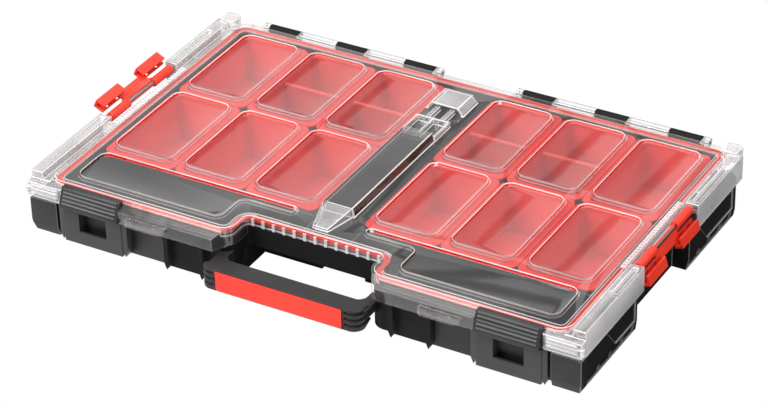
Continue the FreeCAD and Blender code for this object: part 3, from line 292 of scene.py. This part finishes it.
def spread(tree, value, low, high, from_low=0.3, from_high=0.7):
    """A value moved from its own range to another one."""
    node = tree.nodes.new("ShaderNodeMapRange")
    node.inputs["From Min"].default_value = from_low
    node.inputs["From Max"].default_value = from_high
    node.inputs["To Min"].default_value = low
    node.inputs["To Max"].default_value = high
    tree.links.new(value, node.inputs["Value"])
    return node.outputs["Result"]


def blend_colours(tree, factor, first, second):
    """Colour between two others, chosen by a value from 0 to 1."""
    node = tree.nodes.new("ShaderNodeMix")
    node.data_type = "RGBA"
    node.inputs[6].default_value = (*first, 1)
    node.inputs[7].default_value = (*second, 1)
    tree.links.new(factor, node.inputs[0])
    return node.outputs[2]


def moulded_plastic(name, dark, light, gloss, grain, drift=22.0, specular=0.5):
    """Plain moulded plastic. gloss is (low, high) roughness, grain is (per metre, depth)."""
    material, tree, output, place = fresh_material(name)
    skin = tree.nodes.new("ShaderNodeBsdfPrincipled")
    cloud = noise(tree, place, drift, 3.0, 0.6)
    speckle = noise(tree, place, grain[0], 2.0, 0.6)
    colour = blend_colours(tree, spread(tree, cloud, 0.0, 1.0), dark, light)
    tree.links.new(colour, skin.inputs["Base Color"])
    tree.links.new(spread(tree, speckle, *gloss), skin.inputs["Roughness"])
    skin.inputs["Specular IOR Level"].default_value = specular
    bump = tree.nodes.new("ShaderNodeBump")
    bump.inputs["Strength"].default_value = 0.6
    bump.inputs["Distance"].default_value = grain[1]
    tree.links.new(speckle, bump.inputs["Height"])
    tree.links.new(bump.outputs[0], skin.inputs["Normal"])
    tree.links.new(skin.outputs[0], output.inputs["Surface"])
    return material


# %% The black and red plastics
plastics = {
    # name: dark colour, light colour, roughness, (grains per metre, depth), drift, specular
    "black_base": ((0.009, 0.008, 0.009), (0.015, 0.014, 0.015), (0.42, 0.58), (1400.0, 0.00005)),
    # black_shade is darker and duller: painted shade for faces under the lid's edge.
    "black_shade": ((0.004, 0.004, 0.004), (0.007, 0.007, 0.007), (0.60, 0.75), (1400.0, 0.00005),
                    22.0, 0.2),
    # The edge finish is paler than the plastic: a painted highlight on rounded edges.
    "black_painted_highlight": ((0.13, 0.128, 0.13), (0.17, 0.168, 0.17), (0.25, 0.35), (1400.0, 0.00002)),
    # The outline finish is paler still: a painted highlight on the edges of the side cells.
    "black_painted_outline_highlight": ((0.26, 0.25, 0.25), (0.34, 0.33, 0.33), (0.40, 0.55), (1400.0, 0.00003)),
    "black_frame": ((0.030, 0.029, 0.030), (0.040, 0.038, 0.040), (0.34, 0.48), (2000.0, 0.00003)),
    "black_handle": ((0.018, 0.017, 0.018), (0.026, 0.025, 0.026), (0.40, 0.55), (1700.0, 0.00005)),
    "black_latch": ((0.016, 0.015, 0.016), (0.024, 0.023, 0.024), (0.34, 0.48), (2000.0, 0.00003)),
    "red_bin": ((0.72, 0.016, 0.011), (0.84, 0.026, 0.018), (0.30, 0.42), (900.0, 0.00003)),
    "red_divider": ((0.68, 0.035, 0.020), (0.78, 0.055, 0.032), (0.28, 0.40), (900.0, 0.00003)),
    "red_clip": ((0.84, 0.040, 0.022), (0.92, 0.060, 0.032), (0.28, 0.40), (1200.0, 0.00002)),
    "red_inlay": ((0.80, 0.026, 0.010), (0.90, 0.038, 0.016), (0.45, 0.60), (1800.0, 0.00004)),
    "red_gasket": ((0.84, 0.070, 0.045), (0.94, 0.100, 0.065), (0.50, 0.65), (1500.0, 0.00004)),
}
finishes = {name: moulded_plastic(name, *numbers) for name, numbers in plastics.items()}
print("plastics", sorted(finishes))

# %% [markdown]
# ## Steel pins
# The hinge wires are drawn steel: metal with fine streaks along their length. The
# streaks come from noise stretched along X, which is how the wire was pulled.

# %% Drawn steel


def drawn_steel(name, stretch):
    """Metal with streaks. stretch is how often the noise repeats per metre along X, Y and Z."""
    material, tree, output, place = fresh_material(name)
    skin = tree.nodes.new("ShaderNodeBsdfPrincipled")
    skin.inputs["Metallic"].default_value = 1.0
    mapping = tree.nodes.new("ShaderNodeMapping")
    mapping.inputs["Scale"].default_value = stretch
    tree.links.new(place, mapping.inputs["Vector"])
    streak = noise(tree, mapping.outputs[0], 1.0, 3.0, 0.6)
    colour = blend_colours(tree, spread(tree, streak, 0.0, 1.0), (0.42, 0.42, 0.44), (0.62, 0.62, 0.63))
    tree.links.new(colour, skin.inputs["Base Color"])
    tree.links.new(spread(tree, streak, 0.22, 0.38), skin.inputs["Roughness"])
    tree.links.new(skin.outputs[0], output.inputs["Surface"])
    return material


finishes["steel_pin"] = drawn_steel("steel_pin", (60.0, 2500.0, 2500.0))
print("steel", finishes["steel_pin"].name)

# %% [markdown]
# ## Clear lid
# Real polycarbonate bends light, and a ray-traced glass would need many bounces through
# some sixty thin walls. The walls are thin and flat, so bending hardly shows. A mix of
# see-through and mirror gives the same look in one step: the mirror part follows the
# Fresnel rule, doubled because each wall has two faces, and works on the face towards
# the viewer only. A little milk in the plastic whitens it, and faint waves from the
# mould make its reflections swim.

# %% Recipe for clear polycarbonate
two_faces_factor = 1.85
wave_scale = 45.0
gloss_scale = 30.0
milk_scale = 14.0


def clear_plastic(name, milk, tint, gloss, wave, milk_colour=(0.9, 0.88, 0.88)):
    """Clear plastic. milk is the (least, most) share of white, gloss the same for roughness."""
    material, tree, output, place = fresh_material(name)
    bump = tree.nodes.new("ShaderNodeBump")
    bump.inputs["Strength"].default_value = 0.5
    bump.inputs["Distance"].default_value = wave
    tree.links.new(noise(tree, place, wave_scale), bump.inputs["Height"])

    fresnel = tree.nodes.new("ShaderNodeFresnel")
    fresnel.inputs["IOR"].default_value = 1.5
    tree.links.new(bump.outputs[0], fresnel.inputs["Normal"])
    two_faces = tree.nodes.new("ShaderNodeMath")
    two_faces.operation = "MULTIPLY"
    two_faces.use_clamp = True
    two_faces.inputs[1].default_value = two_faces_factor
    tree.links.new(fresnel.outputs[0], two_faces.inputs[0])
    geometry = tree.nodes.new("ShaderNodeNewGeometry")
    front_only = tree.nodes.new("ShaderNodeMath")
    front_only.operation = "SUBTRACT"
    front_only.inputs[0].default_value = 1.0
    tree.links.new(geometry.outputs["Backfacing"], front_only.inputs[1])
    mirror_share = tree.nodes.new("ShaderNodeMath")
    mirror_share.operation = "MULTIPLY"
    tree.links.new(two_faces.outputs[0], mirror_share.inputs[0])
    tree.links.new(front_only.outputs[0], mirror_share.inputs[1])

    see_through = tree.nodes.new("ShaderNodeBsdfTransparent")
    see_through.inputs["Color"].default_value = (*tint, 1)
    mirror = tree.nodes.new("ShaderNodeBsdfGlossy")
    mirror.inputs["Color"].default_value = (1, 1, 1, 1)
    tree.links.new(spread(tree, noise(tree, place, gloss_scale), *gloss), mirror.inputs["Roughness"])
    tree.links.new(bump.outputs[0], mirror.inputs["Normal"])
    milky = tree.nodes.new("ShaderNodeBsdfDiffuse")
    milky.inputs["Color"].default_value = (*milk_colour, 1)

    body = tree.nodes.new("ShaderNodeMixShader")
    tree.links.new(spread(tree, noise(tree, place, milk_scale), *milk), body.inputs[0])
    tree.links.new(see_through.outputs[0], body.inputs[1])
    tree.links.new(milky.outputs[0], body.inputs[2])
    whole = tree.nodes.new("ShaderNodeMixShader")
    tree.links.new(mirror_share.outputs[0], whole.inputs[0])
    tree.links.new(body.outputs[0], whole.inputs[1])
    tree.links.new(mirror.outputs[0], whole.inputs[2])
    tree.links.new(whole.outputs[0], output.inputs["Surface"])
    return material


# %% The clear finishes
clear = (0.97, 0.965, 0.965)
rosy = (0.97, 0.90, 0.90)
clear_plastics = {
    # name: share of milk, tint, roughness, depth of the waves, colour of the milk
    "clear_lid": ((0.012, 0.026), clear, (0.04, 0.09), 0.0002),
    # The edge finish of the lid is milky white: a painted highlight on rounded edges.
    "clear_painted_highlight": ((0.55, 0.75), clear, (0.10, 0.20), 0.0002),
    "clear_front": ((0.0, 0.02), (0.97, 0.93, 0.93), (0.08, 0.16), 0.0004),
    # The milk of the rails and skirts is painted light.
    "clear_rail": ((0.10, 0.23), clear, (0.06, 0.14), 0.0004),
    "clear_skirt": ((0.65, 0.88), clear, (0.08, 0.16), 0.0006),
    "clear_hood": ((0.05, 0.25), clear, (0.10, 0.20), 0.0020),
    # The wall finishes are painted light: the far walls paint in the colour seen through them, the near
    # walls white edges as a painted highlight.
    "clear_near_wall": ((0.45, 0.60), clear, (0.08, 0.16), 0.0003),
    "red_far_wall": ((0.70, 0.80), rosy, (0.04, 0.09), 0.0003, (0.62, 0.010, 0.008)),
    "pale_far_wall": ((0.60, 0.72), rosy, (0.04, 0.09), 0.0002, (0.80, 0.13, 0.10)),
    "dark_far_wall": ((0.70, 0.80), (0.5, 0.4, 0.4), (0.04, 0.09), 0.0003, (0.05, 0.02, 0.012)),
}
finishes.update({name: clear_plastic(name, *numbers) for name, numbers in clear_plastics.items()})
print("finishes", len(finishes))

# %% [markdown]
# ## Rounded edges
# A mould can't make a knife edge. Every real corner has a small radius, and it is the radius that catches
# the light and draws the bright lines round windows, ribs and feet. The imported solids have sharp edges,
# so each one is copied, its loose triangles are merged back into flat faces, and a bevel rounds every edge
# sharper than a limit. Where an edge finish is given, the rounded faces also get a paler finish of their
# own: a painted highlight on top of the light that the radius catches.
# The copy then stands in for the solid, on the same body and with the same slot. The
# steel pins are round already, so they are kept as they are. The walls, feet and rim
# of the base are one moulding, and so are the parts of the lid. Their solids touch, so
# they are first united, and no seam shows between them. The lid's two front skirts have
# fine steps that a wide bevel would fold over, so they stay pieces of their own.

# %% Copy and unite solids
materials_of_nodes = {part["node"]: part["material_slot"] for part in frame["record"]["subparts"]}
print("nodes with a finish", len(materials_of_nodes))


def plain_mesh(source, name):
    """Mesh of an object with its modifiers applied, as a new plain object."""
    graph = bpy.context.evaluated_depsgraph_get()
    mesh = bpy.data.meshes.new_from_object(source.evaluated_get(graph), depsgraph=graph)
    mesh.name = name
    made = bpy.data.objects.new(name, mesh)
    bpy.context.scene.collection.objects.link(made)
    bpy.data.objects.remove(source)
    return made


def merge_flat(mesh, angle=0.6):
    """Merge doubles and join the triangles of each flat face."""
    shape = bmesh.new()
    shape.from_mesh(mesh)
    bmesh.ops.remove_doubles(shape, verts=shape.verts, dist=1e-6)
    bmesh.ops.dissolve_limit(shape, angle_limit=math.radians(angle), verts=shape.verts, edges=shape.edges)
    shape.to_mesh(mesh)
    shape.free()


def merged_copy(node):
    """Copy of a solid's mesh with its doubles merged and its flat faces joined."""
    mesh = frame["nodes"][node].data.copy()
    mesh.materials.clear()
    merge_flat(mesh)
    copy = bpy.data.objects.new(f"{node}_merged", mesh)
    bpy.context.scene.collection.objects.link(copy)
    return copy


def united_copy(name, nodes):
    """One copy of several solids that touch, without the walls between them."""
    whole = merged_copy(nodes[0])
    others = [merged_copy(node) for node in nodes[1:]]
    for other in others:
        union = whole.modifiers.new("union", "BOOLEAN")
        union.operation = "UNION"
        union.solver = "EXACT"
        union.object = other
    if others:
        whole = plain_mesh(whole, f"{name}_united")
        merge_flat(whole.data)
    for other in others:
        bpy.data.objects.remove(other)
    return whole


# %% Round the edges of a copy
smooth_limit = 21.0
sharp_limit = 38.0
bevel_steps = 2
spike_reach = 1.3
own_finishes = {"latch_frame_left": "black_frame", "latch_frame_right": "black_frame"}


def pull_back_spikes(mesh, source, reach):
    """Points that the bevel threw far off the surface go back onto it.

    Faces with many corners are cut into triangles first, while they are still sound.
    """
    shape = bmesh.new()
    shape.from_mesh(mesh)
    bmesh.ops.triangulate(shape, faces=[face for face in shape.faces if len(face.verts) > 4])
    shape.to_mesh(mesh)
    shape.free()
    tree = BVHTree.FromPolygons([v.co for v in source.vertices], [p.vertices for p in source.polygons])
    moved = 0
    for vertex in mesh.vertices:
        place, normal, index, distance = tree.find_nearest(vertex.co)
        if distance > reach:
            vertex.co = place
            moved += 1
    return moved


def rounded(name, nodes, radius, painted_highlight_finish=None, clamp=False):
    """One piece with rounded edges, which replaces the given nodes."""
    copy = united_copy(name, nodes)
    before = copy.data.copy()
    bevel = copy.modifiers.new("round", "BEVEL")
    bevel.width = radius
    bevel.segments = bevel_steps
    bevel.limit_method = "ANGLE"
    bevel.angle_limit = math.radians(sharp_limit)
    bevel.use_clamp_overlap = clamp
    slot = materials_of_nodes[nodes[0]]
    copy.data.materials.clear()
    copy.data.materials.append(finishes[own_finishes.get(name, slot)])
    # The rounded faces get the edge finish, a painted highlight.
    if painted_highlight_finish:
        copy.data.materials.append(finishes[painted_highlight_finish])
        bevel.material = 1
    made = plain_mesh(copy, f"{name}_finished")
    moved = pull_back_spikes(made.data, before, spike_reach * radius)
    made.data.shade_smooth()
    made.data.set_sharp_from_angle(angle=math.radians(smooth_limit))
    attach(made, body_of(frame["nodes"][nodes[0]])[0])
    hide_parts(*nodes)
    print(made.name, len(made.data.polygons), "faces", moved, "spikes")
    return made


# %% Round the parts


def nodes_named(*starts):
    """Names of the nodes that start with one of some words."""
    return sorted(node for node in frame["nodes"] if node.startswith(starts))


base_nodes = ["base_tub"] + nodes_named("base_floor", "sealing_rim", "front_foot", "rear_foot",
                                        "front_panel")
lid_nodes = ["lid_cover"] + nodes_named("lid_ridge", "lid_hood", "lid_rail")
lid_front_nodes = nodes_named("lid_front")
base_radius = 0.0005
lid_radius = 0.0007
skirt_radius = 0.0004
base = rounded("base_body", base_nodes, base_radius, "black_painted_highlight")
lid = rounded("lid_shell", lid_nodes, lid_radius, "clear_painted_highlight")
lid_fronts = [rounded(node, [node], skirt_radius, "clear_painted_highlight", clamp=True) for node in lid_front_nodes]

# %% Round the single parts
small_radius = 0.00035
edge_radius = {"carry_handle": 0.0007}
# Parts in the base's black get paler rounded edges, a painted highlight.
painted_highlight_finishes = {"black_base": "black_painted_highlight"}
for node in sorted(frame["nodes"]):
    if node in base_nodes + lid_nodes + lid_front_nodes:
        continue
    if "pin" in node:
        solid = frame["nodes"][node]
        solid.data.materials.clear()
        solid.data.materials.append(finishes[materials_of_nodes[node]])
        continue
    rounded(node, [node], edge_radius.get(node, small_radius), painted_highlight_finishes.get(materials_of_nodes[node]))

# %% [markdown]
# ## Shaded faces of the base
# The recess behind the handle and the two panels beside it lie under the lid's edge, and the rear knuckles
# lie between the lid's own. The photograph shows them all darker than the feet, but the soft studio light
# here throws less shade than that. One could hang a dark card over them, and it would show in the lid. So
# these faces get a darker and duller finish instead, chosen by place: painted shade. The grooved corners
# of the handle get the darker plastic of the base, painted shade in the grooves, and the rounded edges of
# the cells on the outer sides a paler one, as photographed, a painted highlight.

# %% Shaded faces of the base
plain_slot, painted_highlight_slot, shade_slot, painted_outline_slot = range(4)
recess_half, recess_back, recess_top = 0.0745, -0.1390, 0.0490
panel_end, panel_back, panel_top = 0.1500, -0.1600, 0.0530
knuckle_front, knuckle_bottom = 0.1700, 0.0480
cell_side, cell_front, cell_top = 0.2620, -0.1650, 0.0460


def base_slot(face):
    """Material slot for one face of the base, by its place."""
    x, y, z = face.center
    recess = abs(x) < recess_half and y < recess_back and z < recess_top
    panel = recess_half <= abs(x) < panel_end and y < panel_back and z < panel_top
    knuckle = y > knuckle_front and z > knuckle_bottom
    # Recess, panels and knuckles get the darker finish: painted shade.
    if recess or panel or knuckle:
        return shade_slot
    # Rounded edges of the cells on the outer sides get a paler finish: a painted highlight.
    if face.material_index == painted_highlight_slot and abs(x) > cell_side and y > cell_front and z < cell_top:
        return painted_outline_slot
    return face.material_index


base.data.materials.append(finishes["black_shade"])
base.data.materials.append(finishes["black_painted_outline_highlight"])
for face in base.data.polygons:
    face.material_index = base_slot(face)
base_slots = [face.material_index for face in base.data.polygons]
print("shaded faces", base_slots.count(shade_slot), "outlined", base_slots.count(painted_outline_slot))

# %% Grooved corners of the handle, in painted shade
# The faces in the grooves get the darker plastic of the base: painted shade.
groove_start = 0.0565
handle = bpy.data.objects["carry_handle_finished"]
handle.data.materials.append(finishes["black_base"])
groove_shade_slot = len(handle.data.materials) - 1
grooved = [face for face in handle.data.polygons
           if abs(face.center.x) > groove_start and face.normal.z < 0.5]
for face in grooved:
    face.material_index = groove_shade_slot
print("grooved corners of the handle", len(grooved))

# %% [markdown]
# ## Faces of the lid
# One clear plastic looks different in each place, because of what stands behind it.
# The thick rails at the sides gather light and look milky, the thin front edge less so; that light is
# painted into their finishes as white milk, most of all on the outer skirts.
# Seen from the front right, as photographed, the left and back walls of a sunk window
# pass on the red of the bins, and the right and front walls show white edges. Real bent
# light would do that from every side, but it costs many bounces. Here the faces of the
# lid get their finish by place: first the outer parts, then the walls of each window.

# %% Places of the sunk windows
window_pitch = (0.0778, 0.1278)
window_middle = (0.0639, -0.0349)
window_half = (0.0308, 0.0560)
window_corner = 0.0380
tray_middle = (0.1440, -0.1298)
tray_half = (0.1060, 0.0227)
tray_tip_end = 0.0930


def window_list():
    """Middle, half sizes, end of the clear corner, left and back finish of every window."""
    windows = []
    for side in (-1, 1):
        for column in range(3):
            for row in range(2):
                middle = (side * (window_middle[0] + column * window_pitch[0]),
                          window_middle[1] + row * window_pitch[1])
                windows.append((middle, window_half, window_corner, "red_far_wall", "pale_far_wall"))
        middle = (side * tray_middle[0], tray_middle[1])
        windows.append((middle, tray_half, tray_tip_end, "dark_far_wall", "red_far_wall"))
    return windows


windows = window_list()
print("windows", len(windows))

# %% Finish of a wall of a window
wall_margin = 0.0035


def wall_finish(face):
    """Finish of a wall of a sunk window, by the side of the window that it stands on."""
    # Far walls paint in the colour seen through them, near walls a milky white: painted light.
    x, y, z = face.center
    for (middle_x, middle_y), (half_x, half_y), clear_end, left, back in windows:
        if abs(x - middle_x) > half_x + wall_margin or abs(y - middle_y) > half_y + wall_margin:
            continue
        if abs(face.normal.x) > abs(face.normal.y):
            return left if x < middle_x else "clear_near_wall"
        return back if y > middle_y and abs(x) > clear_end else "clear_near_wall"
    return None


# %% Finishes of the lid by place
skirt_side, skirt_top = 0.2870, 0.0610
rail_side = 0.2705
block_side = 0.2490
front_edge = -0.1702
recess_skirt_half, recess_skirt_back, recess_skirt_top = 0.0725, -0.1385, 0.0545
hinge_edge = 0.1685
ridge_half, ridge_bottom, ridge_front, ridge_rear = 0.0210, 0.0575, -0.0985, 0.0525
ridge_wall, ridge_wall_top = (0.0135, 0.0185), 0.0655
wall_bottom, wall_top = 0.0518, 0.0573
low_edge_top = 0.0560
middle_strip = 0.0200


def lid_finish(face):
    """Name of the finish for one face of the lid, or None to keep the first."""
    x, y, z = face.center
    side = abs(x)
    if side > skirt_side and z < skirt_top:
        return "clear_skirt"
    if side > rail_side:
        return "clear_rail"
    if y < front_edge or (side < recess_skirt_half and y < recess_skirt_back and z < recess_skirt_top):
        return "clear_rail" if side > block_side else "clear_front"
    if y > hinge_edge:
        return "clear_hood"
    if side < ridge_half and z > ridge_bottom and (y < ridge_front or y > ridge_rear):
        return "clear_hood"
    upright = abs(face.normal.x) > 0.5
    # Upright walls of the ridge get the dark far-wall finish, painted light.
    if ridge_wall[0] < side < ridge_wall[1] and ridge_bottom < z < ridge_wall_top and upright:
        return "dark_far_wall"
    if abs(face.normal.z) > 0.5 or not wall_bottom <= z <= wall_top or side < middle_strip:
        return None
    return wall_finish(face)


lid_finishes = [name for name in clear_plastics if name not in ("clear_lid", "clear_painted_highlight")]
counts = dict.fromkeys(lid_finishes, 0)
for piece in [lid] + lid_fronts:
    for name in lid_finishes:
        piece.data.materials.append(finishes[name])
    for face in piece.data.polygons:
        name = None
        if face.material_index == plain_slot:
            name = lid_finish(face)
        elif wall_bottom < face.center.z < low_edge_top:
            name = wall_finish(face)
        if name:
            face.material_index = painted_highlight_slot + 1 + lid_finishes.index(name)
            counts[name] += 1
print("lid faces", counts)

# %% [markdown]
# ## Ribs beside the handle and teeth along the sides
# Two kinds of small trim repeat at an even pitch: upright ribs on the skirt over the
# handle's recess, and little teeth beside the notch of each side clip. They could be
# copied in a loop, but then a new pitch would mean a new loop. One Geometry Nodes tree
# serves all the rows: a line of points, one box on each point, then Realize Instances
# so that the result is a plain mesh. The count, the pitch and the box are named inputs.

# %% Row of boxes with Geometry Nodes


def row_tree():
    """Node group that lays boxes of one size along a line."""
    group = bpy.data.node_groups.new("row_of_boxes", "GeometryNodeTree")
    sockets = group.interface
    sockets.new_socket("Geometry", in_out="OUTPUT", socket_type="NodeSocketGeometry")
    sockets.new_socket("Count", in_out="INPUT", socket_type="NodeSocketInt")
    sockets.new_socket("Start", in_out="INPUT", socket_type="NodeSocketVector")
    sockets.new_socket("Step", in_out="INPUT", socket_type="NodeSocketVector")
    sockets.new_socket("Box size", in_out="INPUT", socket_type="NodeSocketVector")
    sockets.new_socket("Material", in_out="INPUT", socket_type="NodeSocketMaterial")
    entry = group.nodes.new("NodeGroupInput")
    leave = group.nodes.new("NodeGroupOutput")
    line = group.nodes.new("GeometryNodeMeshLine")
    line.mode = "OFFSET"
    cube = group.nodes.new("GeometryNodeMeshCube")
    spread_out = group.nodes.new("GeometryNodeInstanceOnPoints")
    realize = group.nodes.new("GeometryNodeRealizeInstances")
    paint = group.nodes.new("GeometryNodeSetMaterial")
    link = group.links.new
    link(entry.outputs["Count"], line.inputs["Count"])
    link(entry.outputs["Start"], line.inputs["Start Location"])
    link(entry.outputs["Step"], line.inputs["Offset"])
    link(entry.outputs["Box size"], cube.inputs["Size"])
    link(line.outputs["Mesh"], spread_out.inputs["Points"])
    link(cube.outputs["Mesh"], spread_out.inputs["Instance"])
    link(spread_out.outputs["Instances"], realize.inputs["Geometry"])
    link(realize.outputs["Geometry"], paint.inputs["Geometry"])
    link(entry.outputs["Material"], paint.inputs["Material"])
    link(paint.outputs["Geometry"], leave.inputs["Geometry"])
    return group


row_group = row_tree()
print("tree", row_group.name, "with", len(row_group.nodes), "nodes")

# %% Row of boxes as a piece


def row_of_boxes(name, count, start, step, size, finish, node):
    """A row of boxes as a plain piece that moves with a node of the box."""
    host = bpy.data.objects.new(f"{name}_row", bpy.data.meshes.new(f"{name}_row"))
    bpy.context.scene.collection.objects.link(host)
    row = host.modifiers.new("row", "NODES")
    row.node_group = row_group
    values = {"Count": count, "Start": start, "Step": step, "Box size": size, "Material": finishes[finish]}
    for item in row_group.interface.items_tree:
        if item.in_out == "INPUT":
            row[item.identifier] = values[item.name]
    host.update_tag()
    piece = plain_mesh(host, name)
    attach(piece, body_of(frame["nodes"][node])[0])
    print(piece.name, len(piece.data.polygons), "faces")
    return piece


# %% Ribs and teeth
rib_count, rib_start = 13, (-0.0660, -0.13955, 0.0506)
rib_size, rib_step = (0.0028, 0.0011, 0.0074), (0.0110, 0.0, 0.0)
tooth_count, tooth_start = 27, (0.2680, -0.0585, 0.0574)
tooth_size, tooth_step = (0.0052, 0.0022, 0.0016), (0.0, 0.0045, 0.0)
# The ribs and teeth take the milky near-wall finish, a painted highlight.
row_of_boxes("recess_ribs", rib_count, rib_start, rib_step, rib_size, "clear_near_wall", "lid_cover")
for side_name, side in (("left", -1), ("right", 1)):
    start = (side * tooth_start[0], *tooth_start[1:])
    row_of_boxes(f"clip_teeth_{side_name}", tooth_count, start, tooth_step, tooth_size,
                 "clear_near_wall", "lid_cover")

# %% [markdown]
# The dressed box has to stay inside the box of the solids. Both sizes are gathered below as plain numbers.

# %% Sizes and finish


def plain_numbers(value):
    """Nested vectors as plain lists of numbers."""
    if isinstance(value, (int, float)):
        return round(float(value), 6)
    return [plain_numbers(part) for part in value]


{"solids": plain_numbers(solid_box), "dressed": plain_numbers(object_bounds())}
